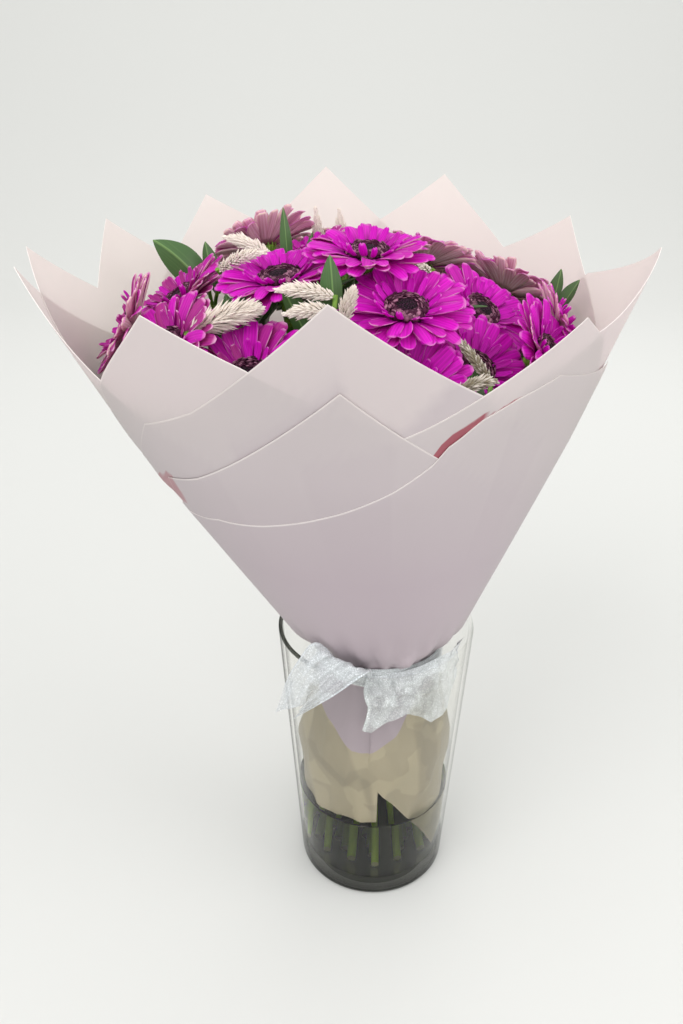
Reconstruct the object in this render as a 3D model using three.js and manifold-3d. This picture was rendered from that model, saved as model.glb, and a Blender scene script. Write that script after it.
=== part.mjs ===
// A bouquet of gerberas with celosia and leaves, in square sheets of flower wrap tied with a ribbon,
// standing in a tapered glass vase of water. Millimetres, +Z up, the front faces -Y.
// The origin is the middle of the face that the vase stands on.
import * as THREE from 'three';
import { mergeVertices } from 'three/addons/utils/BufferGeometryUtils.js';
import Module from 'manifold-3d';

const wasm = await Module();
wasm.setup();

// Vase and water
const VASE_HEIGHT = 231;
const MOUTH_RADIUS = 75;
const FOOT_RADIUS = 60;
const GLASS_WALL = 3.2;
const GLASS_FLOOR = 13;
const VASE_SIDES = 40;
const WATER_LEVEL = 76;
const CLEARANCE = 0.3;

// Flower wrap: sheet thickness, and the step from one sheet to the one behind it
const PAPER = 0.6;
const PAPER_STEP = 1.1;
const TIE_FOOT = 199;
// The cone that the sheets are rolled on, where the square corners keep straight edges
const ROLL_APEX = 115;
const ROLL_ANGLE = THREE.MathUtils.degToRad(27.5);
const FOLD_STEP = 15;
// Outer sheet from the skirt in the vase to the crown: height, centre x and y, half width x and y
const WRAP_PROFILE = [
  [18, 0, 0, 57.4, 57.4],
  [84, 0, 0, 61.4, 61.4],
  [130, 0, 0, 64.1, 64.1],
  [199, 3, 0, 47.5, 47.5],
  [222, 3, 0, 47, 47],
  [237, 0, 0.5, 67, 61],
  [400, -21.5, 9.5, 154, 138.6],
  [560, -36.5, 17.5, 226, 203],
];

// Ribbon
const RIBBON = 0.8;
const TIE_CENTRE_X = 3;
const TIE_RADIUS = 48;
const TIE_BOTTOM = 204;
const TIE_TOP = 221;

// Stems
const STEM_RADIUS = 3;
const STEM_SIDES = 4;
const NECK_LENGTH = 34;
// At the tie the stems are pressed into one round bundle
const STEM_PITCH = 6.5;
const BUNDLE_RADIUS = 23;
const STEM_STEPS = 4;
const BUNDLE_GRIP = 6;
const BIND_TOP = 222;
const BIND_BOTTOM = 200;
const FOOT_SPREAD = 2.1;
const FOOT_TURN = THREE.MathUtils.degToRad(14);

// Gerbera bloom
const BLOOM_RADIUS = 38;
const PETALS = 12;
const HUB_RADIUS = 9;
const HUB_THICKNESS = 1.2;
const INNER_LAYER = 0.84;
// Height of each petal layer over the bloom's centre, and its rise along the radius
const OUTER_PETALS = { height: -3, rise: 0.17 };
const INNER_PETALS = { height: -0.4, rise: 0.28 };
const hubHeight = ({ height, rise }) => height + rise * HUB_RADIUS;
const BLOOM_UNDERSIDE = hubHeight(OUTER_PETALS) - HUB_THICKNESS / 2;
const BLOOM_FACE = hubHeight(INNER_PETALS) + HUB_THICKNESS / 2;
const CALYX_FOOT = -14;

// Leaves and the stalks of sprays
const LEAF = 0.8;
const STALK_RADIUS = 1.8;
const SPRAY_STEM_RADIUS = 2.7;

const up = new THREE.Vector3(0, 0, 1);
const SPRAY_SOURCE = new THREE.Vector3(3, 0, 260);
const radians = THREE.MathUtils.degToRad;

// Closed solids

// A geometry from points and triangles, with its faces pointing out
function solidOf(points, triangles) {
  const positions = points.flatMap((p) => [p.x, p.y, p.z]);
  let volume = 0;
  for (const [a, b, c] of triangles) {
    volume += points[a].dot(points[b].clone().cross(points[c]));
  }
  const faces = volume > 0 ? triangles : triangles.map(([a, b, c]) => [a, c, b]);
  const geometry = new THREE.BufferGeometry();
  geometry.setAttribute('position', new THREE.Float32BufferAttribute(positions, 3));
  geometry.setIndex(faces.flat());
  return geometry;
}

// A three.js geometry with its shared points merged and its empty triangles dropped
function welded(source) {
  const geometry = source.index ? source.clone() : mergeVertices(source.clone());
  geometry.deleteAttribute('normal');
  geometry.deleteAttribute('uv');
  const merged = mergeVertices(geometry, 1e-3);
  const index = merged.index.array;
  const kept = [];
  for (let k = 0; k < index.length; k += 3) {
    const [a, b, c] = [index[k], index[k + 1], index[k + 2]];
    if (a !== b && b !== c && c !== a) kept.push([a, b, c]);
  }
  const place = merged.getAttribute('position');
  const points = [];
  for (let k = 0; k < place.count; k += 1) {
    points.push(new THREE.Vector3().fromBufferAttribute(place, k));
  }
  return solidOf(points, kept);
}

function toManifold(geometry) {
  const mesh = new wasm.Mesh({
    numProp: 3,
    vertProperties: new Float32Array(geometry.getAttribute('position').array),
    triVerts: new Uint32Array(geometry.index.array),
  });
  return new wasm.Manifold(mesh);
}

function fromManifold(manifold) {
  const mesh = manifold.getMesh();
  const geometry = new THREE.BufferGeometry();
  geometry.setAttribute('position', new THREE.Float32BufferAttribute(mesh.vertProperties, 3));
  geometry.setIndex([...mesh.triVerts]);
  return geometry;
}

function joined(geometries) {
  return fromManifold(wasm.Manifold.union(geometries.map(toManifold)));
}

function cut(geometry, cutters) {
  return fromManifold(toManifold(geometry).subtract(wasm.Manifold.union(cutters.map(toManifold))));
}

// A turned solid: the profile is radius and height, and starts and ends on the axis or on itself
function turned(profile, sides) {
  const points = profile.map(([r, z]) => new THREE.Vector2(r, z));
  return welded(new THREE.LatheGeometry(points, sides).rotateX(Math.PI / 2));
}

// A round stem along a curve
function stemAlong(curve, radius, sides, steps) {
  const section = new THREE.Shape();
  for (let k = 0; k < sides; k += 1) {
    const angle = (2 * Math.PI * k) / sides;
    const [x, y] = [radius * Math.cos(angle), radius * Math.sin(angle)];
    if (k === 0) section.moveTo(x, y);
    else section.lineTo(x, y);
  }
  section.closePath();
  const settings = { steps, extrudePath: curve, bevelEnabled: false, curveSegments: 1 };
  return welded(new THREE.ExtrudeGeometry(section, settings));
}

// A thin blade through a grid of points, split alike on both faces
function bladeOf(grid, thickness) {
  const [rows, columns] = [grid.length, grid[0].length];
  const points = [];
  for (let i = 0; i < rows; i += 1) {
    for (let j = 0; j < columns; j += 1) {
      const along = grid[Math.min(i + 1, rows - 1)][j].clone().sub(grid[Math.max(i - 1, 0)][j]);
      const across = grid[i][Math.min(j + 1, columns - 1)].clone().sub(grid[i][Math.max(j - 1, 0)]);
      const normal = along.cross(across).normalize().multiplyScalar(thickness / 2);
      points.push(grid[i][j].clone().add(normal));
      points.push(grid[i][j].clone().sub(normal));
    }
  }
  const front = (i, j) => 2 * (i * columns + j);
  const back = (i, j) => front(i, j) + 1;
  const triangles = [];
  const quad = (a, b, c, d) => triangles.push([a, b, c], [a, c, d]);
  for (let i = 0; i < rows - 1; i += 1) {
    for (let j = 0; j < columns - 1; j += 1) {
      quad(front(i, j), front(i + 1, j), front(i + 1, j + 1), front(i, j + 1));
      triangles.push([back(i, j), back(i + 1, j + 1), back(i + 1, j)]);
      triangles.push([back(i, j), back(i, j + 1), back(i + 1, j + 1)]);
    }
    quad(front(i, 0), back(i, 0), back(i + 1, 0), front(i + 1, 0));
    const j = columns - 1;
    quad(front(i, j), front(i + 1, j), back(i + 1, j), back(i, j));
  }
  for (let j = 0; j < columns - 1; j += 1) {
    quad(front(0, j), front(0, j + 1), back(0, j + 1), back(0, j));
    const i = rows - 1;
    quad(front(i, j), back(i, j), back(i, j + 1), front(i, j + 1));
  }
  return solidOf(points, triangles);
}

// Vase and water

const glassRadius = (z) => FOOT_RADIUS + ((MOUTH_RADIUS - FOOT_RADIUS) * z) / VASE_HEIGHT;
const innerRadius = (z) => glassRadius(z) - GLASS_WALL;

function vase() {
  const heel = 4;
  const rimLift = 1.2;
  return turned([
    [0, 0],
    [FOOT_RADIUS - heel, 0],
    [glassRadius(heel) - 0.8, heel * 0.45],
    [glassRadius(2 * heel), 2 * heel],
    [MOUTH_RADIUS, VASE_HEIGHT - rimLift],
    [MOUTH_RADIUS - GLASS_WALL / 2, VASE_HEIGHT],
    [MOUTH_RADIUS - GLASS_WALL, VASE_HEIGHT - rimLift],
    [innerRadius(GLASS_FLOOR + heel), GLASS_FLOOR + heel],
    [innerRadius(GLASS_FLOOR) - heel, GLASS_FLOOR],
    [0, GLASS_FLOOR],
  ], VASE_SIDES);
}

function waterBody() {
  const heel = 4;
  return turned([
    [0, GLASS_FLOOR + CLEARANCE],
    [innerRadius(GLASS_FLOOR) - heel - CLEARANCE, GLASS_FLOOR + CLEARANCE],
    [innerRadius(GLASS_FLOOR + heel) - CLEARANCE, GLASS_FLOOR + heel],
    [innerRadius(WATER_LEVEL) - CLEARANCE, WATER_LEVEL],
    [0, WATER_LEVEL],
  ], VASE_SIDES);
}

// Flower wrap

// The point of the sheets at a height and an azimuth in degrees, 0 at the front and 90 at the right
function paperPoint(azimuth, height, depth) {
  const profile = WRAP_PROFILE;
  let k = 0;
  while (k < profile.length - 2 && height > profile[k + 1][0]) k += 1;
  const t = (height - profile[k][0]) / (profile[k + 1][0] - profile[k][0]);
  const mix = (column) => THREE.MathUtils.lerp(profile[k][column], profile[k + 1][column], t);
  const ring = (degrees) => {
    const angle = radians(degrees);
    const x = mix(1) + (mix(3) - depth) * Math.sin(angle);
    const y = mix(2) - (mix(4) - depth) * Math.cos(angle);
    return new THREE.Vector3(x, y, height);
  };
  const start = Math.floor(azimuth / FOLD_STEP + 1e-6) * FOLD_STEP;
  const share = (azimuth - start) / FOLD_STEP;
  return ring(start).lerp(ring(start + FOLD_STEP), share);
}

// The height of a sheet's top edge, straight from corner to corner on the flat sheet
function crownHeight(corners, azimuth) {
  let k = 0;
  while (k < corners.length - 2 && azimuth > corners[k + 1][0]) k += 1;
  const [[a0, h0], [a1, h1]] = [corners[k], corners[k + 1]];
  const turn = (degrees) => radians(degrees) * Math.sin(ROLL_ANGLE);
  const near = Math.sin(turn(a1 - azimuth)) / (h0 - ROLL_APEX);
  const far = Math.sin(turn(azimuth - a0)) / (h1 - ROLL_APEX);
  return ROLL_APEX + Math.sin(turn(a1 - a0)) / (near + far);
}

function skirtHeight(corners, azimuth) {
  let k = 0;
  while (k < corners.length - 2 && azimuth > corners[k + 1][0]) k += 1;
  const [[a0, h0], [a1, h1]] = [corners[k], corners[k + 1]];
  return THREE.MathUtils.mapLinear(azimuth, a0, a1, h0, h1);
}

// A sheet between its top and bottom edges, from one depth in the wrap to another
function sheetSolid(crownAt, footAt, stops, outerDepth, innerDepth) {
  const points = [];
  const columns = stops.map((azimuth) => {
    const [foot, top] = [footAt(azimuth), crownAt(azimuth)];
    const folds = WRAP_PROFILE.map((row) => row[0]).filter((z) => z > foot + 0.4 && z < top - 0.4);
    return [foot, ...folds, top].map((height) => {
      points.push(paperPoint(azimuth, height, outerDepth));
      points.push(paperPoint(azimuth, height, innerDepth));
      return { height, outer: points.length - 2, inner: points.length - 1 };
    });
  });
  const triangles = [];
  const both = (a, b, c) => {
    triangles.push([a.outer, b.outer, c.outer], [a.inner, c.inner, b.inner]);
  };
  const rim = (a, b) => {
    triangles.push([a.outer, b.outer, b.inner], [a.outer, b.inner, a.inner]);
  };
  for (let k = 0; k < columns.length - 1; k += 1) {
    const [left, right] = [columns[k], columns[k + 1]];
    let [i, j] = [0, 0];
    while (i < left.length - 1 || j < right.length - 1) {
      const leftNext = i < left.length - 1 ? left[i + 1].height : Infinity;
      const rightNext = j < right.length - 1 ? right[j + 1].height : Infinity;
      if (leftNext <= rightNext) {
        both(left[i], right[j], left[i + 1]);
        i += 1;
      } else {
        both(left[i], right[j], right[j + 1]);
        j += 1;
      }
    }
    rim(right[0], left[0]);
    rim(left.at(-1), right.at(-1));
  }
  const [first, last] = [columns[0], columns.at(-1)];
  for (let i = 0; i < first.length - 1; i += 1) rim(first[i], first[i + 1]);
  for (let i = 0; i < last.length - 1; i += 1) rim(last[i + 1], last[i]);
  return solidOf(points, triangles);
}

// Every fold of the cone and every corner of the outline between two azimuths
function stopsBetween(from, to, corners) {
  const stops = corners.map(([azimuth]) => azimuth).filter((a) => a >= from && a <= to);
  stops.push(from, to);
  for (let a = Math.ceil(from / FOLD_STEP) * FOLD_STEP; a < to; a += FOLD_STEP) stops.push(a);
  stops.sort((a, b) => a - b);
  return stops.filter((a, k) => k === 0 || a - stops[k - 1] > 0.2);
}

// One sheet of wrap: its crown corners, its layer in the wrap, and the corners of its skirt
function wrapSheet({ layer, crown, skirt }) {
  const [from, to] = [crown[0][0], crown.at(-1)[0]];
  const bottom = skirt ?? [[from, TIE_FOOT], [to, TIE_FOOT]];
  const depth = layer * PAPER_STEP;
  return sheetSolid(
    (a) => crownHeight(crown, a),
    (a) => skirtHeight(bottom, a),
    stopsBetween(from, to, [...crown, ...bottom]),
    depth,
    depth + PAPER,
  );
}

// Crown corners are azimuth and height; layer 0 is the outermost sheet
const DIPPING_EDGE = [[-6, 123], [38, 61], [59, 26], [98, 66]];
const SKIRT_FRONT_RIGHT = [
  [-60, TIE_FOOT],
  [-8, TIE_FOOT],
  ...DIPPING_EDGE,
  [98.6, 84],
  [102, TIE_FOOT],
  [108, TIE_FOOT],
];
const WRAP_SHEETS = {
  wrap_outer_right: {
    layer: 0,
    crown: [[-60, 338], [-27, 366], [-6, 384.5], [15, 430], [42, 470], [70, 452], [108, 352]],
    skirt: SKIRT_FRONT_RIGHT,
  },
  wrap_outer_front: {
    layer: 1,
    crown: [[-106, 322], [-58, 365], [-1.2, 472.2], [60, 368], [84, 336]],
    skirt: [[-106, TIE_FOOT], [-104, 78], [1, 78], [3, TIE_FOOT], [84, TIE_FOOT]],
  },
  wrap_front_right: {
    layer: 2,
    crown: [[-8, 424], [22.5, 463], [39.9, 501.7], [48.4, 482.5], [86, 392]],
  },
  wrap_front: {
    layer: 3,
    crown: [[-76, 376], [-44, 433], [-1.2, 522], [22.5, 463], [44, 420]],
  },
  wrap_front_left: {
    layer: 4,
    crown: [[-92, 378], [-55.5, 449.5], [-30, 508], [-15.6, 483], [8, 450]],
  },
  wrap_left: {
    layer: 5,
    crown: [[-112, 430], [-75, 508], [-52, 455], [-30, 415]],
  },
  wrap_right: {
    layer: 4,
    crown: [[34, 464], [48.4, 486], [78, 516], [108, 482], [124, 446]],
  },
  wrap_back_left: {
    layer: 6,
    crown: [[-152, 452], [-123, 511.3], [-108, 472], [-91, 510], [-64, 452]],
  },
  wrap_back_right: {
    layer: 3,
    crown: [[92, 444], [122, 514.6], [138.7, 485], [156, 533], [182, 476]],
  },
  wrap_back: {
    layer: 5,
    crown: [[158, 470], [182.5, 536.6], [198, 495], [211.3, 519.5], [238, 444]],
    skirt: [[158, TIE_FOOT], [159, 78], [236, 78], [238, TIE_FOOT]],
  },
};

// The water gives way to the one skirt that dips into it
function skirtNotch() {
  const [from, to] = [22, 104];
  const edge = (a) => skirtHeight(DIPPING_EDGE, Math.min(a, DIPPING_EDGE.at(-1)[0])) - 1;
  const stops = stopsBetween(from, to, SKIRT_FRONT_RIGHT);
  return sheetSolid(() => WATER_LEVEL + 4, edge, stops, -6, PAPER + CLEARANCE);
}

// Ribbon

// A point round the tie: azimuth in degrees, distance from the vase's axis, height
function roundPoint(azimuth, radius, height) {
  const angle = radians(azimuth);
  return new THREE.Vector3(radius * Math.sin(angle), -radius * Math.cos(angle), height);
}

function tieBand() {
  const outer = TIE_RADIUS + 1.5;
  const profile = [[TIE_RADIUS, TIE_BOTTOM], [outer, TIE_BOTTOM], [outer, TIE_TOP], [TIE_RADIUS, TIE_TOP]];
  return turned([...profile, profile[0]], 30).translate(TIE_CENTRE_X, 0, 0);
}

// A length of ribbon between two edges
function ribbonLength(leftEdge, rightEdge, bulge) {
  const grid = leftEdge.map((point, k) => {
    const [left, right] = [new THREE.Vector3(...point), new THREE.Vector3(...rightEdge[k])];
    const middle = left.clone().lerp(right, 0.5);
    const outward = new THREE.Vector3(middle.x, middle.y, 0).normalize();
    if (k > 0) middle.addScaledVector(outward, bulge);
    return [left, middle, right];
  });
  return bladeOf(grid, RIBBON);
}

function ribbon() {
  const longTail = ribbonLength(
    [[-19.9, -43, 218], [-30, -58, 229], [-46, -62, 253], [-62, -60, 232], [-78, -55, 185]],
    [[-19.9, -43, 207], [-26, -60, 227], [-32, -70, 238], [-50, -71, 226], [-66, -63, 196]],
    1.5,
  );
  const shortTail = ribbonLength(
    [[-12, -46.3, 218], [-22, -60, 229], [-30, -68, 242], [-50, -73, 224], [-64, -66, 190]],
    [[-4, -48.2, 207], [-5, -62, 226], [-8, -74, 236], [-22, -80, 226], [-56, -70, 186]],
    1.5,
  );
  const bowRows = [
    { radius: [0, 69.2, 69.8, 69.8, 68], height: [217, 233, 234, 232, 222] },
    { radius: [0, 67, 68, 68, 67], height: [212, 206, 205, 198, 196] },
    { radius: [0, 64.8, 65.6, 65.4, 65.4], height: [208, 192, 176, 160, 172] },
  ];
  const bowStops = [6, 20, 38, 56, 72];
  const bow = bladeOf(bowStops.map((azimuth, k) => bowRows.map(({ radius, height }) => {
    if (k > 0) return roundPoint(azimuth, radius[k], height[k]);
    return roundPoint(azimuth, TIE_RADIUS + 0.8, height[k]).add(new THREE.Vector3(TIE_CENTRE_X, 0, 0));
  })), RIBBON);
  const end = bladeOf([
    [[-6, 49, 209], [4, 49, 209], [14, 50, 209]],
    [[-8, 64, 202], [2, 65, 201], [11, 65, 201]],
    [[-6, 67, 177], [0, 66.4, 182], [9, 66, 190]],
  ].map((row) => row.map(([azimuth, radius, height]) => roundPoint(azimuth, radius, height))), RIBBON);
  return joined([tieBand(), longTail, shortTail, bow, end]);
}

// Gerbera blooms

// Centre, tilt from upright, azimuth that it faces, and size beside the common radius
const BLOOMS = [
  { at: [11, -67, 489], tilt: 20, faces: 0, size: 1 },
  { at: [62, -7, 472], tilt: 38, faces: 53, size: 0.98 },
  { at: [52, -65, 453], tilt: 44, faces: 32, size: 0.96 },
  { at: [10, -96, 449], tilt: 51, faces: -8, size: 1 },
  { at: [97, -50, 458], tilt: 60, faces: 66, size: 0.93 },
  { at: [117, 2, 457], tilt: 62, faces: 88, size: 0.9 },
  { at: [90, 61.5, 470], tilt: 41, faces: 135, size: 0.98 },
  { at: [27, 44, 494], tilt: 30, faces: 165, size: 0.98 },
  { at: [-11, -29, 513], tilt: 8, faces: 0, size: 0.98 },
  { at: [-45, 53, 497], tilt: 17, faces: -97, size: 0.96 },
  { at: [-64, -25, 497], tilt: 13, faces: -44, size: 1 },
  { at: [-83, 84, 497], tilt: 39, faces: 216, size: 1 },
  { at: [-133, 19, 474], tilt: 33, faces: -77, size: 1 },
  { at: [-160, -20, 466], tilt: 62, faces: -83, size: 0.94 },
  { at: [-80, -88, 455], tilt: 38, faces: -30, size: 1 },
  { at: [-128, -64, 466], tilt: 45, faces: -51, size: 0.98 },
  { at: [-25, 120, 478], tilt: 43, faces: 180, size: 1 },
  { at: [48, 106, 471], tilt: 41, faces: 151, size: 0.98 },
];

// Sprays of celosia: where the stalk starts, and each head from its base to its tip
const CELOSIA = [
  {
    joint: [-98, -34, 464],
    heads: [{ base: [-106, -61, 483], tip: [-72, -69, 491], lift: 4, radius: 6.5 }],
  },
  {
    joint: [-32, -84, 456],
    heads: [
      { base: [-34, -76, 494], tip: [-64, -78, 502], lift: 4, radius: 5 },
      { base: [-36, -86, 484], tip: [-64, -92, 486], lift: 4, radius: 5 },
      { base: [-27, -90, 486], tip: [-20, -96, 510], lift: 2, radius: 5 },
    ],
  },
  {
    joint: [-88, 10, 468],
    heads: [
      { base: [-104, -8, 500], tip: [-74, -26, 515], lift: 5, radius: 4.5 },
      { base: [-72, 14, 504], tip: [-102, 26, 514], lift: 4, radius: 5 },
    ],
  },
  {
    joint: [-32, 86, 460],
    heads: [
      { base: [-41, 92, 486], tip: [-45, 94, 521], lift: 0, radius: 4.2 },
      { base: [-26, 88, 488], tip: [-28, 92, 520], lift: 0, radius: 4.5 },
    ],
  },
  { joint: [20, -4, 470], heads: [{ base: [31, -5, 499], tip: [6, -14, 505], lift: 3, radius: 4.5 }] },
  {
    joint: [52, -113, 430],
    heads: [
      { base: [58, -98, 458], tip: [36, -85, 483], lift: 1, radius: 3.6 },
      { base: [32, -124, 458], tip: [56, -120, 466], lift: 5, radius: 4.5 },
    ],
  },
];

// Leafy sprays: each blade from its base to its tip, and the way that its width runs
const LEAVES = [
  {
    joint: [-114, 56, 450],
    blades: [
      { base: [-120, 59, 470], tip: [-158, 65, 505], width: 18, lift: 8, side: [0.5, 0.5, 0.7] },
      { base: [-114, 55, 470], tip: [-121, 60, 505], width: 14, lift: 2, side: [1, -0.3, 0] },
    ],
  },
  {
    joint: [-56, 17, 478],
    blades: [
      { base: [-61, 16, 494], tip: [-64, 22, 534], width: 8, lift: 0, side: [1, 0.2, 0] },
      { base: [-52, 15, 492], tip: [-45, 15, 520], width: 6, lift: 0, side: [1, -0.2, 0] },
    ],
  },
  {
    joint: [-40, -64, 466],
    blades: [
      { base: [-31, -73, 488], tip: [-33, -70, 523], width: 13, lift: 2, side: [1, 0.3, 0] },
      { base: [-36, -72, 484], tip: [-40, -68, 508], width: 8, lift: 0, side: [1, 0.2, 0] },
    ],
  },
  {
    joint: [107, 30, 448],
    blades: [
      { base: [118, 37.5, 465], tip: [123, 38.5, 491], width: 11, lift: 0, side: [1, 0.2, 0] },
      { base: [124, 41, 461], tip: [137, 41, 483], width: 10, lift: 2, side: [0.8, 0.2, -0.6] },
    ],
  },
];

function facing(tilt, azimuth) {
  const [lean, turn] = [radians(tilt), radians(azimuth)];
  const x = Math.sin(lean) * Math.sin(turn);
  const y = -Math.sin(lean) * Math.cos(turn);
  return new THREE.Vector3(x, y, Math.cos(lean));
}

// One layer of ray petals: ridged down the middle of each petal, blunt at the tips
function petalLayer(points, triangles, { radius, height, rise, shift }) {
  const [ridge, fall] = [1.4, 0.5];
  const level = (r) => height + rise * r;
  const add = (r, turns, z) => {
    const angle = (2 * Math.PI * (turns + shift)) / PETALS;
    return points.push(new THREE.Vector3(r * Math.cos(angle), r * Math.sin(angle), z)) - 1;
  };
  const [waist, notch, blunt] = [0.55 * radius, 0.66 * radius, 0.26];
  const petals = [];
  for (let k = 0; k < PETALS; k += 1) {
    petals.push({
      rootTop: add(HUB_RADIUS, k - 0.5, level(HUB_RADIUS) + HUB_THICKNESS / 2),
      rootBottom: add(HUB_RADIUS, k - 0.5, level(HUB_RADIUS) - HUB_THICKNESS / 2),
      gap: add(notch, k - 0.5, level(notch) - fall / 2),
      tipLeft: add(radius, k - blunt, level(radius) - fall),
      tipRight: add(radius, k + blunt, level(radius) - fall),
      ridge: add(waist, k, level(waist) + ridge),
    });
  }
  petals.forEach((petal, k) => {
    const next = petals[(k + 1) % PETALS];
    const tip = [petal.gap, petal.tipLeft, petal.tipRight, next.gap];
    const face = [petal.rootTop, ...tip, next.rootTop];
    face.forEach((corner, m) => triangles.push([petal.ridge, corner, face[(m + 1) % face.length]]));
    const back = [petal.tipRight, next.gap, next.rootBottom, petal.rootBottom, petal.gap];
    for (let m = 0; m < back.length - 1; m += 1) triangles.push([petal.tipLeft, back[m + 1], back[m]]);
  });
  return petals;
}

// Both petal layers on one hub, the inner layer turned by half a petal
function bloomPetals(scale) {
  const [points, triangles] = [[], []];
  const radius = BLOOM_RADIUS * scale;
  const outer = petalLayer(points, triangles, { ...OUTER_PETALS, radius, shift: 0 });
  const innerReach = radius * INNER_LAYER;
  const inner = petalLayer(points, triangles, { ...INNER_PETALS, radius: innerReach, shift: 0.5 });
  const underside = points.push(new THREE.Vector3(0, 0, BLOOM_UNDERSIDE)) - 1;
  const face = points.push(new THREE.Vector3(0, 0, BLOOM_FACE)) - 1;
  for (let k = 0; k < PETALS; k += 1) {
    const next = (k + 1) % PETALS;
    triangles.push([underside, outer[next].rootBottom, outer[k].rootBottom]);
    triangles.push([face, inner[k].rootTop, inner[next].rootTop]);
    triangles.push([outer[k].rootTop, outer[next].rootTop, inner[k].rootBottom]);
    triangles.push([outer[next].rootTop, inner[next].rootBottom, inner[k].rootBottom]);
  }
  return solidOf(points, triangles);
}

// The disc: a dark low dome in a ring of short florets, whose tips stand up by turns
function bloomDisc(scale) {
  const sides = 8;
  const rings = [
    { radius: 15.5, heights: [7, 5.6] },
    { radius: 11.5, heights: [6.4, 8.4] },
    { radius: 7.5, heights: [6.6, 5.2] },
    { radius: 5.4, heights: [6.9, 6.9] },
  ];
  const base = BLOOM_FACE + CLEARANCE;
  const points = [];
  const ring = (radius, heights) => {
    const first = points.length;
    for (let k = 0; k < sides; k += 1) {
      const angle = (2 * Math.PI * k) / sides;
      const spot = new THREE.Vector3(Math.cos(angle), Math.sin(angle), 0).multiplyScalar(radius * scale);
      points.push(spot.setZ(heights[k % 2]));
    }
    return first;
  };
  const triangles = [];
  const starts = [ring(7.4, [base, base]), ...rings.map(({ radius, heights }) => ring(radius, heights))];
  for (let m = 0; m < starts.length - 1; m += 1) {
    for (let k = 0; k < sides; k += 1) {
      const next = (k + 1) % sides;
      const [a, b, c, d] = [starts[m] + k, starts[m] + next, starts[m + 1] + next, starts[m + 1] + k];
      triangles.push([a, b, c], [a, c, d]);
    }
  }
  const bottom = points.push(new THREE.Vector3(0, 0, base)) - 1;
  const top = points.push(new THREE.Vector3(0, 0, 7.8)) - 1;
  for (let k = 0; k < sides; k += 1) {
    const next = (k + 1) % sides;
    triangles.push([bottom, starts[0] + next, starts[0] + k]);
    triangles.push([top, starts.at(-1) + k, starts.at(-1) + next]);
  }
  return solidOf(points, triangles);
}

// The green cup under a bloom, on top of its stem
function calyx() {
  const top = BLOOM_UNDERSIDE - CLEARANCE;
  return turned([[0, CALYX_FOOT], [3.4, CALYX_FOOT], [8.2, top - 0.6], [0, top]], 6);
}

// Celosia

// A feathery head: pointed florets that stand out by turns from a slim core
function celosiaHead({ base, tip, lift, radius }) {
  const [rows, columns] = [8, 6];
  const [start, end] = [new THREE.Vector3(...base), new THREE.Vector3(...tip)];
  const middle = start.clone().lerp(end, 0.5).add(new THREE.Vector3(0, 0, lift));
  const spine = new THREE.QuadraticBezierCurve3(start, middle, end);
  const frames = spine.computeFrenetFrames(rows);
  const step = spine.getLength() / rows;
  const points = [];
  for (let i = 0; i < rows; i += 1) {
    const t = i / rows;
    const width = radius * Math.sin(Math.PI * (0.16 + 0.84 * t)) ** 0.8;
    const centre = spine.getPointAt(t);
    for (let j = 0; j < columns; j += 1) {
      const angle = (2 * Math.PI * j) / columns;
      const floret = (i + j) % 2 === 0;
      const reach = floret ? width : 0.5 * width;
      const spot = centre.clone().addScaledVector(frames.tangents[i], floret ? 0.8 * step : 0);
      spot.addScaledVector(frames.normals[i], reach * Math.cos(angle));
      points.push(spot.addScaledVector(frames.binormals[i], reach * Math.sin(angle)));
    }
  }
  const [foot, crown] = [points.push(start) - 1, points.push(end) - 1];
  const triangles = [];
  for (let j = 0; j < columns; j += 1) {
    const next = (j + 1) % columns;
    triangles.push([foot, next, j]);
    const top = (rows - 1) * columns;
    triangles.push([crown, top + j, top + next]);
    for (let i = 0; i < rows - 1; i += 1) {
      const [a, b] = [i * columns + j, i * columns + next];
      const [c, d] = [b + columns, a + columns];
      if ((i + j) % 2 === 0) triangles.push([a, b, d], [b, c, d]);
      else triangles.push([a, b, c], [a, c, d]);
    }
  }
  return solidOf(points, triangles);
}

// Leaves

// A pointed blade, folded a little along its midrib
function leafBlade({ base, tip, width, lift, side }) {
  const [start, end] = [new THREE.Vector3(...base), new THREE.Vector3(...tip)];
  const middle = start.clone().lerp(end, 0.5).add(new THREE.Vector3(0, 0, lift));
  const rib = new THREE.QuadraticBezierCurve3(start, middle, end);
  const across = new THREE.Vector3(...side).normalize();
  const outline = [0.14, 0.8, 1, 0.66, 0.07];
  const grid = outline.map((share, k) => {
    const t = k / (outline.length - 1);
    const centre = rib.getPoint(t);
    const fold = rib.getTangent(t).cross(across).normalize().multiplyScalar(0.12 * width * share);
    const half = across.clone().multiplyScalar(0.5 * width * share);
    const edges = [half.clone().negate(), half].map((side) => centre.clone().add(side).add(fold));
    return [edges[0], centre.clone().sub(fold), edges[1]];
  });
  return bladeOf(grid, LEAF);
}

// Sprays: a short stalk that branches to its heads or leaves

function branch(fork, to) {
  const end = new THREE.Vector3(...to);
  const overrun = end.clone().sub(fork).normalize().multiplyScalar(2);
  const line = new THREE.LineCurve3(fork, end.add(overrun));
  return stemAlong(line, 0.8 * STALK_RADIUS, 3, 1);
}

function spray(joint, branches, ends) {
  const stalk = new THREE.Vector3(...joint);
  const rise = stalk.clone().sub(SPRAY_SOURCE).normalize();
  const foot = stalk.clone().addScaledVector(rise, 2 * CLEARANCE);
  const fork = stalk.clone().addScaledVector(rise, 5);
  const knotEnd = fork.clone().addScaledVector(rise, 1);
  const knot = stemAlong(new THREE.LineCurve3(foot, knotEnd), STALK_RADIUS, 5, 1);
  return joined([knot, ...branches.map((end) => branch(fork, end)), ...ends]);
}

// Stems

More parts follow.
